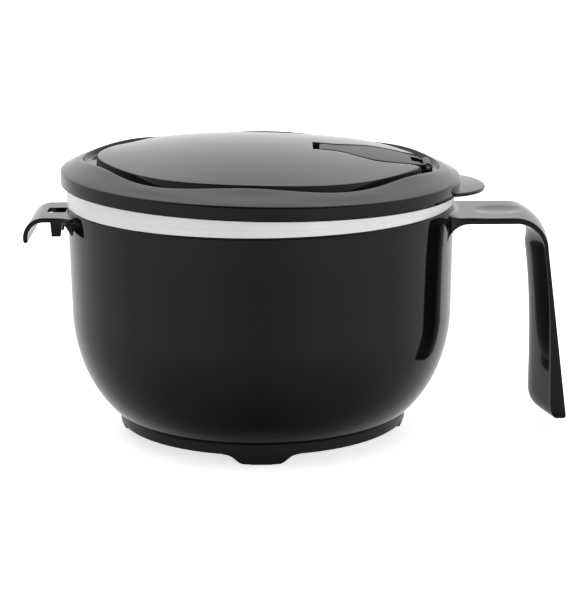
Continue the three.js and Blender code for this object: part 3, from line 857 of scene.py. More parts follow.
@dataclass
class Base:
    """The foot ring with its four flared feet and their rubber pads."""

    radius: float = 60.4
    wall: float = 2.2
    under: float = 5.0
    disc: float = 5.6
    floor: float = 7.6
    top: float = 9.7
    edge: float = 0.7
    foot_half_top: float = 15.5
    foot_half_bottom: float = 7.3
    foot_inner: float = 46.0
    foot_low: float = 0.4
    foot_reach: float = 58.8
    feet: int = 4
    pad_long: float = 5.5
    pad_wide: float = 4.0
    pad_corner: float = 2.0
    pad_top: float = 1.6
    pad_at: float = 53.3

    def foot_outline(self) -> Profile:
        """The front view of a foot: an S-curve down to a rounded sole."""
        top, bottom = self.foot_half_top, self.foot_half_bottom
        side = []
        for step in range(17):
            t = step / 16
            weights = ((1 - t) ** 3, 3 * t * (1 - t) ** 2, 3 * t * t * (1 - t), t**3)
            xs = (-top, -top + 5.4, -bottom - 3.4, -bottom + 2)
            zs = (self.under, self.under, self.foot_low, self.foot_low)
            side.append((sum(w * x for w, x in zip(weights, xs)), sum(w * z for w, z in zip(weights, zs))))
        mirror = [(-x, z) for x, z in reversed(side)]
        return [(-top, self.floor - 0.6), *side, *mirror, (top, self.floor - 0.6)]

    def foot(self) -> bpy.types.Object:
        """One foot, trimmed to the round wall of the base with a slight draft."""
        blank = across("foot", self.foot_outline(), -self.radius - 2, -self.foot_inner)
        draft = turned(
            "draft",
            [
                (0, self.foot_low),
                (self.foot_reach - 1.2, self.foot_low),
                (self.foot_reach - 0.4, self.foot_low + 0.35),
                (self.foot_reach + 0.1, self.foot_low + 1.2),
                (self.radius, self.under + 0.2),
                (self.radius, self.floor),
                (0, self.floor),
            ],
        )
        return combine(blank, draft, Join.KEEP)

    def pad_ring(self, inset: float, height: float) -> Ring:
        """The pad's outline drawn in by inset, at a height."""
        outline = rounded_box_outline(
            self.pad_long - inset, self.pad_wide - inset, max(self.pad_corner - inset, 0.2)
        )
        return [(x, y - self.pad_at, height) for x, y in outline]

    def build(self) -> None:
        """The base cap, then the pads in its feet."""
        rim = self.radius
        base = turned(
            "bowl_base",
            [
                (0, self.disc),
                (rim - 4.5, self.disc),
                (rim - 3.6, self.under),
                (rim - 0.9, self.under),
                *arc((rim - self.edge, self.under + self.edge), (self.edge, self.edge), (-90, 0), 4)[1:],
                (rim, self.top - 0.3),
                (rim - 0.3, self.top),
                (rim - self.wall, self.top),
                (rim - self.wall, self.floor),
                (0, self.floor),
            ],
        )
        foot = self.foot()
        turns = [FULL_TURN * index / self.feet for index in range(self.feet)]
        feet = [turned_copy(foot, "foot_copy", turn) for turn in turns]
        bpy.data.objects.remove(foot)
        base = combine(base, together(feet), Join.ADD)
        pocket = skin("pocket", [self.pad_ring(-0.3, -1), self.pad_ring(-0.3, self.pad_top + 0.3)])
        screws = BaseScrew()
        tools = [turned_copy(pocket, "pocket_copy", turn) for turn in turns]
        bpy.data.objects.remove(pocket)
        sleeves = [post("sleeve", screws.head + 1.4, self.disc + 0.5, self.top, at) for at in screws.places()]
        base = combine(base, together(sleeves), Join.ADD)
        for at in screws.places():
            tools.append(
                turned(
                    "screw_well",
                    [
                        (0, 0),
                        (screws.head + 0.3, 0),
                        (screws.head + 0.3, screws.head_top + 0.3),
                        (screws.shank + 0.3, screws.head_top + 0.3),
                        (screws.shank + 0.3, 30),
                        (0, 30),
                    ],
                    SMALL_AROUND,
                    at,
                )
            )
        base = combine(base, together(tools), Join.CUT)
        hand_over(base, BOWL_PLACE, Body.BOWL, "satin_black", ["base_cap"])
        rings = [self.pad_ring(0.9, 0.0), self.pad_ring(0.35, 0.06), self.pad_ring(0.1, 0.25)]
        rings += [self.pad_ring(0, 0.5), self.pad_ring(0, self.pad_top)]
        pad = skin("bowl_pad_1", rings)
        pads = [pad, *[turned_copy(pad, f"bowl_pad_{i + 1}", turns[i]) for i in range(1, self.feet)]]
        for index, made in enumerate(pads):
            hand_over(made, BOWL_PLACE, Body.BOWL, "pad_rubber", [f"foot_pad_{index + 1}"])


@dataclass
class Section:
    """One cross section of a strap-like part, between an outer and an inner line."""

    outer: tuple[float, float]
    inner: tuple[float, float]
    half: float
    bulge: float = 0.0
    crown: float = 0.0
    hug: float = 0.0
    wall: float = 80.4
    edge: float = 0.55
    side: float = 1.0
    across_points: int = 31
    ridge: float = 0.3

    def swell(self, share: float) -> float:
        """Rise of the palm side at a share of the half width: two flanks with a rounded ridge between."""
        top = math.hypot(1, self.ridge)
        return self.bulge * (top - math.hypot(share, self.ridge)) / (top - self.ridge)

    def ring(self, dent: Union[Callable[[float, float], float], None] = None) -> Ring:
        """The section's points, round the outer side and back along the inner side.

        Args:
            dent: how deep the outer side is pressed in at an x and y.

        Returns:
            The ring of points.
        """
        span = (self.inner[0] - self.outer[0], self.inner[1] - self.outer[1])
        thick = math.hypot(*span)
        direction = (span[0] / thick, span[1] / thick)
        edge = min(self.edge, thick * 0.46)
        flat = self.half - edge
        local: list[tuple[float, float, bool]] = []
        for index in range(self.across_points):
            y = flat * (2 * index / (self.across_points - 1) - 1)
            local.append((y, -self.crown * (1 - (y / flat) ** 2), True))
        for angle in (67.5, 45, 22.5, 0):
            turn = math.radians(angle)
            local.append((flat + edge * math.cos(turn), edge - edge * math.sin(turn), False))
        for angle in (0, 22.5, 45, 67.5):
            turn = math.radians(angle)
            local.append((flat + edge * math.cos(turn), thick - edge + edge * math.sin(turn), False))
        for index in range(self.across_points):
            y = flat * (1 - 2 * index / (self.across_points - 1))
            local.append((y, thick + self.swell(y / flat), False))
        for angle in (67.5, 45, 22.5, 0):
            turn = math.radians(angle)
            local.append((-flat - edge * math.cos(turn), thick - edge + edge * math.sin(turn), False))
        for angle in (0, 22.5, 45, 67.5):
            turn = math.radians(angle)
            local.append((-flat - edge * math.cos(turn), edge - edge * math.sin(turn), False))
        points = []
        for y, depth, outside in local:
            back = self.hug * (self.wall - math.sqrt(self.wall**2 - y * y))
            x = self.outer[0] + direction[0] * depth - self.side * back
            z = self.outer[1] + direction[1] * depth
            if outside and dent:
                z -= dent(x, y)
            points.append((x, y, z))
        return points


@dataclass
class Handle:
    """The carrying handle: a level arm with a thumb dish that turns down into a swelling grip."""

    shell: Shell = field(default_factory=Shell)
    half: float = 20.0
    top: float = 93.05
    under: float = 90.55
    corner_x: float = 104.5
    outer_round: float = 14.0
    inner_round: float = 12.5
    lean: float = 0.1235
    inner_foot: float = 120.2
    inner_start: float = 11.5
    bulge: float = 7.0
    bulge_top: float = 6.4
    crown: float = 1.3
    root_top: float = 3.4
    root_under: float = 6.0
    root_side: float = 5.0
    tip_start: float = 18.0
    tip: float = 6.6
    tip_edge: float = 1.8
    tip_corner: float = 4.0
    tip_full: float = 0.72
    arm_steps: int = 24
    corner_steps: int = 20
    thumb_x: float = 99.0
    thumb_long: float = 11.0
    thumb_wide: float = 9.5
    thumb_deep: float = 0.75

    def dish(self, x: float, y: float) -> float:
        """Depth of the thumb dish."""
        away = ((x - self.thumb_x) / self.thumb_long) ** 2 + (y / self.thumb_wide) ** 2
        return self.thumb_deep * (1 - away) ** 1.25 if away < 1 else 0.0

    def root(self) -> list[Section]:
        """Sections that spread over the shell by fillets."""
        sections = []
        wall = self.shell.radius(self.under)
        for away in (-0.5, 0.0, 0.03, 0.12, 0.3, 0.6, 1.0, 1.5, 2.2, 3.0, 4.0, 5.0, 6.0):
            sections.append(
                Section(
                    outer=(wall + away, self.top + fillet(self.root_top, away)),
                    inner=(wall + away, self.under - fillet(self.root_under, away)),
                    half=self.half + fillet(self.root_side, away),
                    hug=1 - max(away, 0.0) / 8,
                )
            )
        return sections

    def arm(self) -> list[Section]:
        """The level stretch above the fingers."""
        start = self.shell.radius(self.under) + 6.0
        sections = []
        for step in range(1, self.arm_steps):
            x = lerp(start, self.corner_x, step / self.arm_steps)
            hug = 0.25 * max(0.0, 1 - step / 8)
            sections.append(Section(outer=(x, self.top), inner=(x, self.under), half=self.half, hug=hug))
        return sections

    def corner(self) -> list[Section]:
        """The quarter turn."""
        sections = []
        for step in range(self.corner_steps + 1):
            angle = step / self.corner_steps * math.pi / 2
            out, up = math.sin(angle), math.cos(angle)
            centre_z = self.top - self.outer_round
            inner = lerp(self.inner_start, self.inner_round, step / self.corner_steps)
            sections.append(
                Section(
                    outer=(self.corner_x + self.outer_round * out, centre_z + self.outer_round * up),
                    inner=(self.corner_x + inner * out, centre_z + inner * up),
                    half=self.half,
                    bulge=self.bulge_top * out**2.2,
                    crown=self.crown * math.sin(min(1.6 * angle, math.pi)),
                )
            )
        return sections

    def outer_x(self, height: float) -> float:
        """The outer line of the grip."""
        return self.corner_x + self.outer_round + self.lean * (self.top - self.outer_round - height)

    def inner_x(self, height: float) -> float:
        """The inner line of the grip at its edges."""
        start = self.top - self.outer_round
        share = (max(height, 15.0) - 15.0) / (start - 15.0)
        return lerp(self.inner_foot, self.corner_x + self.inner_round, share**3)

    def half_at(self, height: float) -> float:
        """Half width, drawn in round the lower corners."""
        above = max(0.0, self.tip + self.tip_corner - height) / (self.tip_corner + 0.1)
        return self.half - self.tip_corner * (1 - math.sqrt(1 - above * above))

    def grip(self) -> list[Section]:
        """The hanging stretch and its tip, small-radiused outside and well rounded at the palm."""
        start = self.top - self.outer_round
        sections = []
        steps = 22
        for step in range(1, steps + 1):
            height = lerp(start - 0.6, self.tip_start, step / steps)
            left = 0.19 * self.crown * max(0.0, 1 - step / 5)
            swell = lerp(self.bulge_top, self.bulge, step / steps)
            sections.append(
                Section(
                    outer=(self.outer_x(height), height),
                    inner=(self.inner_x(height), height),
                    half=self.half,
                    bulge=swell,
                    crown=left,
                )
            )
        reach = self.tip_start - self.tip
        span = self.outer_x(self.tip) - self.inner_x(self.tip) - self.tip_edge - 0.7
        for step in range(1, 15):
            turn = math.radians(87 * step / 14)
            height = self.tip_start - reach * math.sin(turn) ** self.tip_full
            left = math.cos(turn) ** self.tip_full
            below = max(0.0, self.tip + self.tip_edge - height) / (self.tip_edge + 0.02)
            shrink = self.tip_edge * (1 - math.sqrt(1 - below * below))
            sections.append(
                Section(
                    outer=(self.outer_x(height) - shrink, height),
                    inner=(self.inner_x(height) + span * (1 - left), height),
                    half=self.half_at(height),
                    bulge=self.bulge * left,
                )
            )
        return sections

    def build(self) -> bpy.types.Object:
        """The whole handle as one skin."""
        sections = [*self.root(), *self.arm(), *self.corner(), *self.grip()]
        handle = skin("bowl_handle", [section.ring(self.dish) for section in sections])
        return hand_over(handle, BOWL_PLACE, Body.BOWL, "gloss_black", ["handle"], 50)


@dataclass
class Ear:
    """The hanging ear: a slotted plate that curls down, with tabs, gussets and a rib under it."""

    shell: Shell = field(default_factory=Shell)
    half: float = 18.0
    top: float = 94.0
    sheet: float = 1.9
    curl_x: float = -89.3
    curl: float = 8.5
    hook_z: float = 84.2
    flare: float = 5.5
    slot_from: float = -89.0
    slot_to: float = -81.2
    slot_half: float = 5.2
    tab_in: float = 5.8
    tab_out: float = 7.8
    tab_low: float = 84.1
    gusset_in: float = 19.8
    gusset_out: float = 23.2
    gusset_web: tuple[float, float, float] = (80.4, 76.8, 87.3)
    rib_half: float = 1.4
    rib_web: tuple[float, float, float] = (81.6, 80.0, 82.9)
    web_edge: float = 0.35

    def sections(self) -> list[Section]:
        """Sections along the plate and round the curl."""
        wall = self.shell.radius(self.top)
        made = []
        for away in (-0.5, 0.0, 0.03, 0.12, 0.3, 0.6, 1.0, 1.6, 2.4, 3.4, 4.6, 6.0, 7.4):
            x = -(wall + away)
            made.append(
                Section(
                    outer=(x, self.top + fillet(0.8, away)),
                    inner=(x, self.top - self.sheet - fillet(1.0, away)),
                    half=self.half + fillet(self.flare, away),
                    hug=max(0.0, 1 - max(away, 0.0) / 7.4),
                    edge=0.6,
                    side=-1.0,
                )
            )
        centre_z = self.top - self.curl
        last = 180 + math.degrees(math.asin((centre_z - self.hook_z) / self.curl))
        for step in range(19):
            turn = math.radians(lerp(90, last, step / 18))
            out = (math.cos(turn), math.sin(turn))
            inner = self.curl - self.sheet
            made.append(
                Section(
                    outer=(self.curl_x + self.curl * out[0], centre_z + self.curl * out[1]),
                    inner=(self.curl_x + inner * out[0], centre_z + inner * out[1]),
                    half=self.half,
                    edge=0.6,
                )
            )
        turn = math.radians(last)
        middle = self.curl - self.sheet / 2
        along = (math.sin(turn), -math.cos(turn))
        for share in (0.35, 0.65, 0.87, 0.98):
            thick = self.sheet / 2 * math.sqrt(1 - share * share)
            shift = (-along[0] * share * self.sheet / 2, -along[1] * share * self.sheet / 2)
            ends = []
            for radius in (middle + thick, middle - thick):
                ends.append(
                    (
                        self.curl_x + radius * math.cos(turn) + shift[0],
                        centre_z + radius * math.sin(turn) + shift[1],
                    )
                )
            drawn = self.half - self.sheet / 2 * (1 - math.sqrt(1 - share * share))
            made.append(Section(outer=ends[0], inner=ends[1], half=drawn, edge=0.6))
        return made

    def web(self, reach: float, wall: float, low: float) -> Profile:
        """A web under the plate whose free edge curves in to the shell."""
        underside = self.top - self.sheet
        bend = (-(reach + wall) / 2 + 0.4, (underside + low) / 2 - 0.6)
        edge = []
        for step in range(11):
            t = step / 10
            weights = ((1 - t) ** 2, 2 * t * (1 - t), t * t)
            xs = (-reach, bend[0], -wall)
            zs = (underside + 0.5, bend[1], low)
            edge.append((sum(w * x for w, x in zip(weights, xs)), sum(w * z for w, z in zip(weights, zs))))
        return [*edge, (-wall + 2.5, low), (-wall + 2.5, underside + 0.5)]

    def build(self) -> bpy.types.Object:
        """The plate with everything under it."""
        ear = skin("bowl_ear", [section.ring() for section in self.sections()])
        slot = block(
            "slot",
            (self.slot_from, -self.slot_half, self.top - 6),
            (self.slot_to, self.slot_half, self.top + 6),
        )
        ear = combine(ear, slot, Join.CUT)
        tab = [(-87.8, self.top - 0.5), (-87.1, self.tab_low), (-83.3, self.tab_low), (-82.0, self.top - 0.5)]
        for side in (-1, 1):
            ends = sorted((side * self.tab_in, side * self.tab_out))
            ear = combine(ear, round_edges(across("tab", tab, *ends), self.web_edge), Join.ADD)
            ends = sorted((side * self.gusset_in, side * self.gusset_out))
            gusset = across("gusset", self.web(*self.gusset_web), *ends)
            ear = combine(ear, round_edges(gusset, self.web_edge), Join.ADD)
        rib = across("rib", self.web(*self.rib_web), -self.rib_half, self.rib_half)
        ear = combine(ear, round_edges(rib, self.web_edge), Join.ADD)
        return hand_over(ear, BOWL_PLACE, Body.BOWL, "gloss_black", ["ear_hook"], 40)


# ---------------------------------------------------------------- the lid
@dataclass
class Lobes:
    """The six gentle waves of the groove and the cover."""

    count: int = 6
    height: float = 1.85
    phase: float = math.radians(-3.0)

    def wave(self, angle: float) -> float:
        """Push of the wave at an angle."""
        return self.height * math.cos(self.count * (angle - self.phase))


@dataclass
class LidRing:
    """The lid's body: skirt, sloping ring, groove, deck, plug and pull tab."""

    lobes: Lobes = field(default_factory=Lobes)
    radius: float = 83.0
    skirt: float = 1.8
    shoulder: float = 109.2
    groove: float = 72.3
    groove_top: float = 114.75
    deck: float = 112.2
    deck_under: float = 110.4
    plug_outer: float = 74.2
    plug_inner: float = 72.6
    plug_low: float = 100.1
    tab_centre: float = 74.0
    tab_reach: float = 19.5
    tab_half: float = 25.3
    tab_sheet: float = 1.6
    vent_x: float = 47.0
    vent_hole: float = 6.6
    slope: float = 0.45

    def push(self, radius: float, height: float, angle: float) -> tuple[float, float]:
        """The waves slide along the sloping ring, fade out over it and never reach the underside."""
        if height < self.deck + 0.15 or radius < self.groove - 4:
            return (0.0, 0.0)
        share = (self.radius - 1 - radius) / (self.radius - 1 - self.groove)
        out = min(max(share, 0.0), 1.0) * self.lobes.wave(angle)
        return (out, -self.slope * out * (height - self.deck) / (self.groove_top - self.deck))

    def tab_ring(self, inset: float, height: float) -> Ring:
        """The pull tab's outline outside the skirt, drawn in by inset."""
        reach, half = self.tab_reach - inset, self.tab_half - inset
        rim = self.radius - 0.9
        points = []
        for step in range(241):
            angle = math.radians(lerp(-120, 120, step / 240))
            x, y = self.tab_centre + reach * math.cos(angle), half * math.sin(angle)
            if math.hypot(x, y) > rim:
                points.append((x, y))
        start = math.atan2(points[0][1], points[0][0])
        trimmed = [points[round(i * (len(points) - 1) / 80)] for i in range(81)]
        inner = []
        for step in range(1, 30):
            angle = lerp(-start, start, step / 30)
            inner.append((rim * math.cos(angle), rim * math.sin(angle)))
        return [(x, y, height) for x, y in [*trimmed, *inner]]

    def tab(self) -> bpy.types.Object:
        """The pull tab, a thin plate with a rounded edge."""
        high = LID_Z + self.tab_sheet
        rings = [(0.55, LID_Z), (0.18, LID_Z + 0.14), (0.0, LID_Z + 0.5), (0.0, high - 0.6)]
        rings += [(0.12, high - 0.28), (0.42, high - 0.06), (0.8, high)]
        return skin("tab", [self.tab_ring(inset, height) for inset, height in rings])

    def build(self) -> bpy.types.Object:
        """The lid body with its tab, hinge lugs and vent hole."""
        inside = self.radius - self.skirt
        profile = [
            (0, self.deck_under),
            (self.plug_inner - 0.8, self.deck_under),
            (self.plug_inner, self.deck_under - 0.8),
            (self.plug_inner, self.plug_low + 0.4),
            (self.plug_inner + 0.4, self.plug_low),
            (self.plug_outer + 0.5, self.plug_low),
            (self.plug_outer + 0.8, self.plug_low + 0.3),
            (self.plug_outer + 0.8, self.plug_low + 0.8),
            (self.plug_outer, self.plug_low + 0.8),
            (self.plug_outer, self.deck - 0.1),
            (inside - 1, self.shoulder + 0.1),
            (inside, self.shoulder - 0.7),
            (inside, LID_Z + 0.4),
            (inside + 0.3, LID_Z),
            *arc((self.radius - 0.5, LID_Z + 0.5), (0.5, 0.5), (-90, 0), 4),
            (self.radius, LID_Z + 2.4),
            *arc((self.radius - 1.1, self.shoulder + 0.55), (1.1, 1.05), (0, 67), 7),
        ]
        start = profile[-1]
        end = (self.groove + 1.0, self.groove_top - 0.08)
        profile += [
            (lerp(start[0], end[0], t), lerp(start[1], end[1], t) + 0.35 * t * (1 - t))
            for t in (0.15, 0.3, 0.5, 0.7, 0.85)
        ]
        profile += [
            end,
            (self.groove + 0.55, self.groove_top + 0.06),
            (self.groove + 0.25, self.groove_top + 0.02),
            (self.groove + 0.04, self.groove_top - 0.16),
            (self.groove - 0.05, self.groove_top - 0.5),
            (self.groove - 0.7, self.deck + 0.6),
            (self.groove - 1.1, self.deck + 0.2),
            (self.groove - 1.7, self.deck),
            (self.groove - 4, self.deck),
            (0, self.deck),
        ]
        lid = turned("lid_ring", profile, push=self.push)
        lid = combine(lid, self.tab(), Join.ADD)
        hinge = Hinge()
        lid = combine(lid, together(hinge.lugs(self.deck)), Join.ADD)
        trough = block(
            "trough",
            (hinge.x - 3, -hinge.half_barrel - 0.3, hinge.z - hinge.barrel - 0.3),
            (hinge.x + hinge.barrel + 0.3, hinge.half_barrel + 0.3, hinge.z),
        )
        tools = [
            trough,
            rod("pin_hole", hinge.pin + 0.2, hinge.x, hinge.z, hinge.half_pin + 1, 0.1),
            post("vent", self.vent_hole, 100, 120, (self.vent_x, 0)),
        ]
        for tool in tools:
            lid = combine(lid, tool, Join.CUT)
        return hand_over(lid, LID_PLACE, Body.LID, "gloss_black", ["lid_body"], 38)


@dataclass
class Hinge:
    """The pin line of the flap with the lugs that hold it."""

    x: float = 69.0
    z: float = 113.9
    barrel: float = 1.9
    pin: float = 0.8
    half_barrel: float = 8.0
    half_pin: float = 10.8
    lug: float = 1.9
    wing: float = 2.5

    def lugs(self, deck: float) -> list[bpy.types.Object]:
        """The two lugs, rounded over the pin."""
        made = []
        for side in (-1, 1):
            ends = sorted((side * (self.half_barrel + 0.3), side * (self.half_barrel + 0.3 + self.lug)))
            top = arc((self.x, self.z - 0.3), (1.7, 1.7), (0, 180), 10)
            outline = [(self.x + 1.7, deck - 0.5), *top, (self.x - 1.7, deck - 0.5)]
            made.append(round_edges(across("lug", outline, *ends), 0.25))
        return made

    def build_pin(self) -> None:
        """The steel pin."""
        pin = rod("flap_pin", self.pin, self.x, self.z, self.half_pin, 0.25)
        hand_over(pin, LID_PLACE, Body.LID, "zinc_steel", ["hinge_pin"])


@dataclass
class Flap:
    """The vent flap: a leaf let into the cover, with its hinge barrel and stopper."""

    hinge: Hinge = field(default_factory=Hinge)
    apex: float = 121.87
    crown: float = 360.0
    sink: float = 0.05
    sheet: float = 1.9
    clearance: float = 1.6
    finger_gap: float = 0.9
    vent_x: float = 47.0
    window_from: float = 62.3
    window_half: float = 5.0
    outline_points: tuple[tuple[float, float], ...] = (
        (24.0, 7.0),
        (31.0, 7.4),
        (37.0, 11.0),
        (43.0, 15.4),
        (48.0, 16.8),
        (54.0, 15.6),
        (60.0, 13.0),
        (66.0, 10.0),
        (69.5, 8.0),
    )

    def crown_z(self, x: float, y: float = 0.0) -> float:
        """Height of the crowned top."""
        return self.apex - self.crown + math.sqrt(self.crown**2 - x * x - y * y)

    def outline(self, grow: float, end: float) -> Profile:
        """The flap's plan, grown by a distance and ended at an x.

        Args:
            grow: how far it stands outside the flap itself.
            end: where the side of the hinge is cut off.

        Returns:
            An outline, anticlockwise, with its straight ends divided too.
        """
        side = [(x, half) for x, half in smooth_curve(list(self.outline_points), 6) if x < end]
        last = side[-1][1]
        side = [(x, half + grow) for x, half in side] + [(end, last + grow)]
        tip_x = side[0][0] - (grow + self.finger_gap if grow else 0.0)
        tip_half = side[0][1]
        tip = [(tip_x, tip_half * (1 - step / 6)) for step in range(1, 12)]
        tip = [(tip_x, tip_half), *tip, (tip_x, -tip_half)] if grow else tip
        back = [(end, side[-1][1] * (step / 5 - 1)) for step in range(1, 10)]
        lower = [(x, -half) for x, half in side]
        return [*lower, *back, *reversed(side), *tip]

    def leaf_ring(self, inset: float, drop: float, narrow: float = 1.0) -> Ring:
        """The leaf's outline drawn in, at a depth below the crown.

        Args:
            inset: how far it is drawn in.
            drop: depth below the crowned top.
            narrow: share of its width that is left.

        Returns:
            The ring of points.
        """
        first, last = self.outline_points[0][0], self.hinge.x - self.hinge.wing
        points = []
        for x, y in self.outline(0.0, last):
            share = (x - first) / (last - first)
            near = lerp(first + inset * 2.0, last - inset, share)
            shrink = max(0.0, 1 - inset / max(abs(y), 1e-6)) if abs(y) > inset else 0.0
            width = y * shrink * narrow
            points.append((near, width, self.crown_z(near, width) - self.sink - drop))
        return points

    def build(self) -> None:
        """The leaf, its barrel with the window before it, and the stopper."""
        hinge = self.hinge
        steps = [(1.2, self.sheet, 0.05), (1.2, self.sheet, 0.5), (0.9, self.sheet, 1.0)]
        steps += [(0.3, self.sheet, 1.0), (0.0, self.sheet - 0.3, 1.0), (0.0, 0.9, 1.0)]
        steps += [(0.1, 0.45, 1.0), (0.32, 0.16, 1.0), (0.7, 0.02, 1.0), (1.1, 0.0, 1.0)]
        steps += [(1.1, 0.0, share) for share in (0.85, 0.65, 0.4, 0.2, 0.05)]
        leaf = skin("vent_leaf", [self.leaf_ring(*step) for step in steps])
        half = self.window_half
        window = block(
            "window", (self.window_from, -half, 100), (hinge.x - hinge.wing + 1, half, 130)
        )
        leaf = combine(leaf, window, Join.CUT)
        for side in (-1, 1):
            ends = sorted((side * 5.2, side * (hinge.half_barrel - 0.2)))
            neck = block(
                "neck",
                (hinge.x - 5, ends[0], hinge.z - 0.45),
                (hinge.x - 0.7, ends[1], hinge.z + 1.35),
            )
            leaf = combine(leaf, neck, Join.ADD)
        barrel = rod("barrel", hinge.barrel, hinge.x, hinge.z, hinge.half_barrel, 0.3)
        leaf = combine(leaf, barrel, Join.ADD)
        bore = rod("bore", hinge.pin + 0.2, hinge.x, hinge.z, 2 * hinge.half_barrel, 0.1)
        leaf = combine(leaf, bore, Join.CUT)
        hand_over(leaf, LID_PLACE, Body.FLAP, "satin_black", ["vent_flap"], 35)
        self.build_stopper()

    def build_stopper(self) -> None:
        """The soft plug that shuts the vent hole."""
        top = self.crown_z(self.vent_x + 5.8) - self.sheet - self.sink - 0.25
        profile = [
            (0, 108.6),
            *arc((4.3, 109.4), (0.8, 0.8), (-90, 0), 4),
            (5.8, 112.8),
            (5.8, top),
            (0, top),
        ]
        stopper = turned("vent_plug", profile, 64, (self.vent_x, 0))
        hand_over(stopper, LID_PLACE, Body.FLAP, "silicone", ["vent_stopper"])


@dataclass
class Cover:
    """The crowned cover with its six lobes, let in for the flap."""

    lobes: Lobes = field(default_factory=Lobes)
    flap: Flap = field(default_factory=Flap)
    radius: float = 67.4
    low: float = 112.5
    flare: float = 0.5
    edge: float = 0.45
    wave_share: float = 0.6
    mouth_from: float = 61.0
    wall: float = 1.8
    cut_edge: float = 0.6
    mouth: tuple[tuple[float, float], ...] = (
        (61.5, 14.0),
        (63.6, 14.4),
        (65.1, 15.7),
        (65.9, 17.8),
        (67.2, 20.6),
        (70.5, 23.5),
        (76.0, 27.0),
    )

    def push(self, radius: float, _height: float, angle: float) -> tuple[float, float]:
        """The waves grow from nothing towards the cover's edge."""
        return (self.wave_share * max(0.0, radius - 40) ** 2 / 28**2 * self.lobes.wave(angle), 0.0)

    def dish(self, name: str, inset: float, low: float) -> bpy.types.Object:
        """A solid crowned dish, drawn in by inset from the cover's outside."""
        rim = self.radius - inset
        shoulder = rim - self.edge - self.flare
        top = self.flap.crown_z(shoulder) - inset
        profile = [(0, low), (rim * 0.6, low), (rim - 0.25, low), (rim, low + 0.25)]
        profile += arc((shoulder, top - self.edge + 0.12), (self.edge, self.edge), (0, 82), 9)
        for step in range(1, 15):
            radius = (shoulder - 1.2) * (1 - step / 15)
            profile.append((radius, self.flap.crown_z(radius) - inset))
        profile.append((0, self.flap.crown_z(0) - inset))
        return turned(name, profile, push=self.push)

    def pocket_outline(self, grow: float) -> Profile:
        """The opening round the flap, with a mouth that runs out into the groove."""
        outline = self.flap.outline(self.flap.clearance + grow, self.mouth_from)
        tip_x = self.flap.outline_points[0][0] - 0.01
        sides = [(x, y) for x, y in outline if tip_x < x < self.mouth_from - 0.1]
        lower = sorted((x, y) for x, y in sides if y < -1e-9)
        upper = sorted(((x, y) for x, y in sides if y > 0), reverse=True)
        tip = [(x, y) for x, y in outline if x <= tip_x]
        mouth = smooth_curve([(x - 0.5 * grow, y + grow) for x, y in self.mouth], 6)
        low_mouth = [(x, -y) for x, y in mouth]
        return [*lower, *low_mouth, *reversed(mouth), *upper, *tip]

    def pocket(self) -> bpy.types.Object:
        """The cutter of the opening, flared at the crown so that the cut edge comes out rounded."""
        steps = [(0.0, -30.0), (0.0, -self.cut_edge)]
        for angle in (25, 45, 62, 76):
            turn = math.radians(angle)
            steps.append((self.cut_edge * (1 - math.cos(turn)), -self.cut_edge * (1 - math.sin(turn))))
        steps += [(self.cut_edge * 1.3, 0.12), (self.cut_edge * 1.3, 8.0)]
        rings = []
        for grow, rise in steps:
            ring = []
            for x, y in self.pocket_outline(grow):
                ring.append((x, y, self.flap.crown_z(x, y) + rise))
            rings.append(ring)
        return skin("pocket", rings)

    def build(self) -> bpy.types.Object:
        """The cover as a thin dish with walls round the flap's opening."""
        cover = self.dish("lid_dome", 0.0, self.low)
        hollow = self.dish("hollow", self.wall, self.low - 1)
        walls = standing("walls", self.pocket_outline(self.wall), 90, 130)
        hollow = combine(hollow, walls, Join.CUT)
        cover = combine(cover, hollow, Join.CUT)
        cover = combine(cover, self.pocket(), Join.CUT)
        return hand_over(cover, LID_PLACE, Body.LID, "gloss_black", ["lid_cover"], 35)


@dataclass
class Seal:
    """The two-lipped ring round the lid's plug."""

    inner: float = 74.5
    body: float = 75.0
    lip: float = 75.5
    low: float = 101.2

    def build(self) -> bpy.types.Object:
        """The ring, with both lips rounded."""
        z = self.low
        profile = [(self.inner, z), (self.body, z)]
        for middle in (0.9, 3.3):
            profile += arc((self.body, z + middle), (self.lip - self.body, 0.7), (-90, 90), 6)
        profile += [(self.body, z + 4.2), (self.inner, z + 4.2), (self.inner, z)]
        seal = turned("lid_seal", profile)
        return hand_over(seal, LID_PLACE, Body.LID, "silicone", ["seal_ring"])


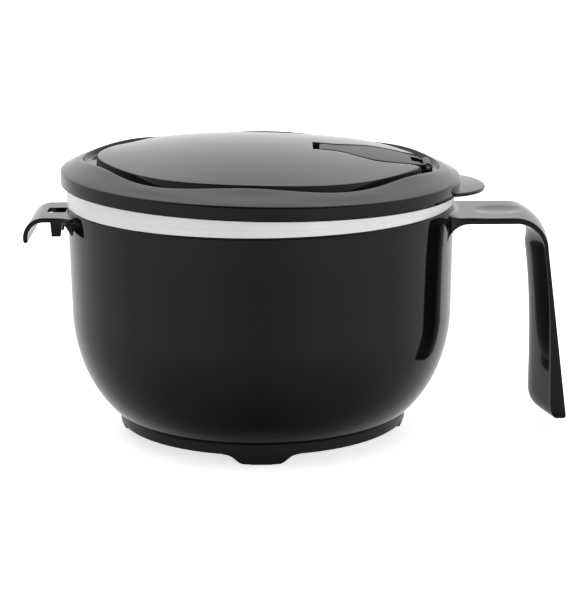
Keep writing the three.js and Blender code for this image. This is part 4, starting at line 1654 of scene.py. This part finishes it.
# ---------------------------------------------------------------- the studio
@dataclass
class Studio:
    """A plain pale floor, soft surroundings and the camera."""

    lens: float = 125.1
    sensor: float = 36.0
    eye: Point = (11.5, -857.0, 261.1)
    pitch: float = 13.55
    roll: float = -0.39
    floor_half: float = 6.0
    floor_grey: float = 0.9
    floor_glow: float = 0.7
    strength: float = 4.0
    front_dim: float = -3.2
    front_dim_most: float = 0.92
    about_stops: tuple[tuple[float, float], ...] = (
        (0, 0.36),
        (0.07, 0.46),
        (0.5, 0.54),
        (0.72, 0.62),
        (0.84, 0.76),
        (0.91, 0.96),
        (1, 0.98),
    )
    rise_stops: tuple[tuple[float, float], ...] = (
        (0, 0.04),
        (0.1, 0.09),
        (0.28, 0.18),
        (0.4, 0.25),
        (0.5, 0.25),
        (0.75, 0.28),
        (0.92, 0.5),
        (0.965, 0.45),
        (0.99, 0.05),
        (1, 0.03),
    )

    def camera(self) -> None:
        """The camera, a little above the rim and in front."""
        data = bpy.data.cameras.new("camera")
        data.lens = self.lens
        data.sensor_width = self.sensor
        data.clip_start, data.clip_end = 0.05, 30
        camera = bpy.data.objects.new("camera", data)
        bpy.context.scene.collection.objects.link(camera)
        place = Matrix.Translation((AXIS + self.eye[0] * MM, self.eye[1] * MM, self.eye[2] * MM))
        turn = Matrix.Rotation(math.radians(90 - self.pitch), 4, "X")
        camera.matrix_world = place @ turn @ Matrix.Rotation(math.radians(self.roll), 4, "Z")
        bpy.context.scene.camera = camera

    def floor(self) -> None:
        """A wide floor that can be seen through from below and isn't mirrored in the gloss."""
        bpy.ops.object.select_all(action="DESELECT")
        bpy.ops.mesh.primitive_plane_add(size=2 * self.floor_half, location=(0, 0, 0))
        floor = bpy.context.object
        floor.name = "floor"
        recipe = Recipe("pale_floor")
        recipe.set(
            Base_Color=(*grey(self.floor_grey), 1),
            Roughness=0.9,
            Emission_Color=(1, 1, 1, 1),
            Emission_Strength=self.floor_glow,
        )
        back = recipe.node("ShaderNodeNewGeometry", {}, {}, "Backfacing")
        clear = recipe.node("ShaderNodeBsdfTransparent", {}, {})
        shown = Wire(recipe, recipe.shader.outputs[0])
        mixed = recipe.node("ShaderNodeMixShader", {}, {0: back, 1: shown, 2: clear})
        output = next(n for n in recipe.tree.nodes if n.type == "OUTPUT_MATERIAL")
        recipe.tree.links.new(mixed.socket, output.inputs["Surface"])
        floor.data.materials.append(recipe.material)
        floor.visible_glossy = False

    def surroundings(self) -> None:
        """White all round, brightest high behind, dim in front and below, dark straight overhead."""
        world = bpy.data.worlds.new("studio")
        bpy.context.scene.world = world
        world.use_nodes = True
        recipe = Recipe.__new__(Recipe)
        recipe.tree = world.node_tree
        recipe.tree.nodes.clear()
        ways = recipe.node("ShaderNodeTexCoord", {}, {}, "Generated")
        split = recipe.node("ShaderNodeSeparateXYZ", {}, {0: ways}).socket.node.outputs
        x, y, z = (Wire(recipe, socket) for socket in split)
        level = (x * x + y * y + 1e-5).maths("SQRT")
        about = recipe.node(
            "ShaderNodeValToRGB",
            {"stops": list(self.about_stops)},
            {0: (y / level) * 0.5 + 0.5},
        )
        rise = recipe.node(
            "ShaderNodeValToRGB",
            {"stops": list(self.rise_stops)},
            {0: z * 0.5 + 0.5},
        )
        front_top = (y * z * self.front_dim).maths("MAXIMUM", 0.0).maths("MINIMUM", self.front_dim_most)
        upper = z.maths("GREATER_THAN", 0.0)
        strength = about * rise * (1 - front_top * upper) * self.strength
        seen = recipe.node("ShaderNodeLightPath", {}, {}, "Is Camera Ray")
        strength = strength * (1 - seen) + seen
        light = recipe.node("ShaderNodeBackground", {}, {"Color": (1, 1, 1, 1), "Strength": strength})
        output = recipe.tree.nodes.new("ShaderNodeOutputWorld")
        recipe.tree.links.new(light.socket, output.inputs["Surface"])

    def lamp(self, name: str, place: Point, size: float, energy: float) -> None:
        """A square softbox in metres and watts that faces the bowl and isn't mirrored in the gloss."""
        data = bpy.data.lights.new(name, "AREA")
        data.shape = "SQUARE"
        data.size = size
        data.energy = energy
        lamp = bpy.data.objects.new(name, data)
        bpy.context.scene.collection.objects.link(lamp)
        turn = Vector(place).to_track_quat("Z", "Y").to_matrix().to_4x4()
        lamp.matrix_world = Matrix.Translation(place) @ turn
        lamp.visible_glossy = False

    def build(self) -> None:
        """Sets up the whole studio."""
        self.camera()
        self.floor()
        self.surroundings()
        self.lamp("overhead", (0, -0.2, 2.2), 2.4, 36)
        self.lamp("front", (0.9, -1.8, 0.5), 1.2, 20)
        settings = bpy.context.scene.view_settings
        settings.view_transform = "Standard"
        settings.look = "None"


def main() -> None:
    """Builds every sub-assembly in order."""
    logging.basicConfig(level=logging.INFO, format="%(message)s")
    Studio().build()
    Shell().build()
    Liner().build()
    Base().build()
    BaseScrew().build()
    Handle().build()
    Ear().build()
    LidRing().build()
    Cover().build()
    Seal().build()
    Hinge().build_pin()
    Flap().build()
    PAINT.dress_node("rim_gasket", "silicone")
    for node in ("liner_stud", "stud_washer", "stud_nut"):
        PAINT.dress_node(node, "zinc_steel")


if __name__ == "__main__":
    main()
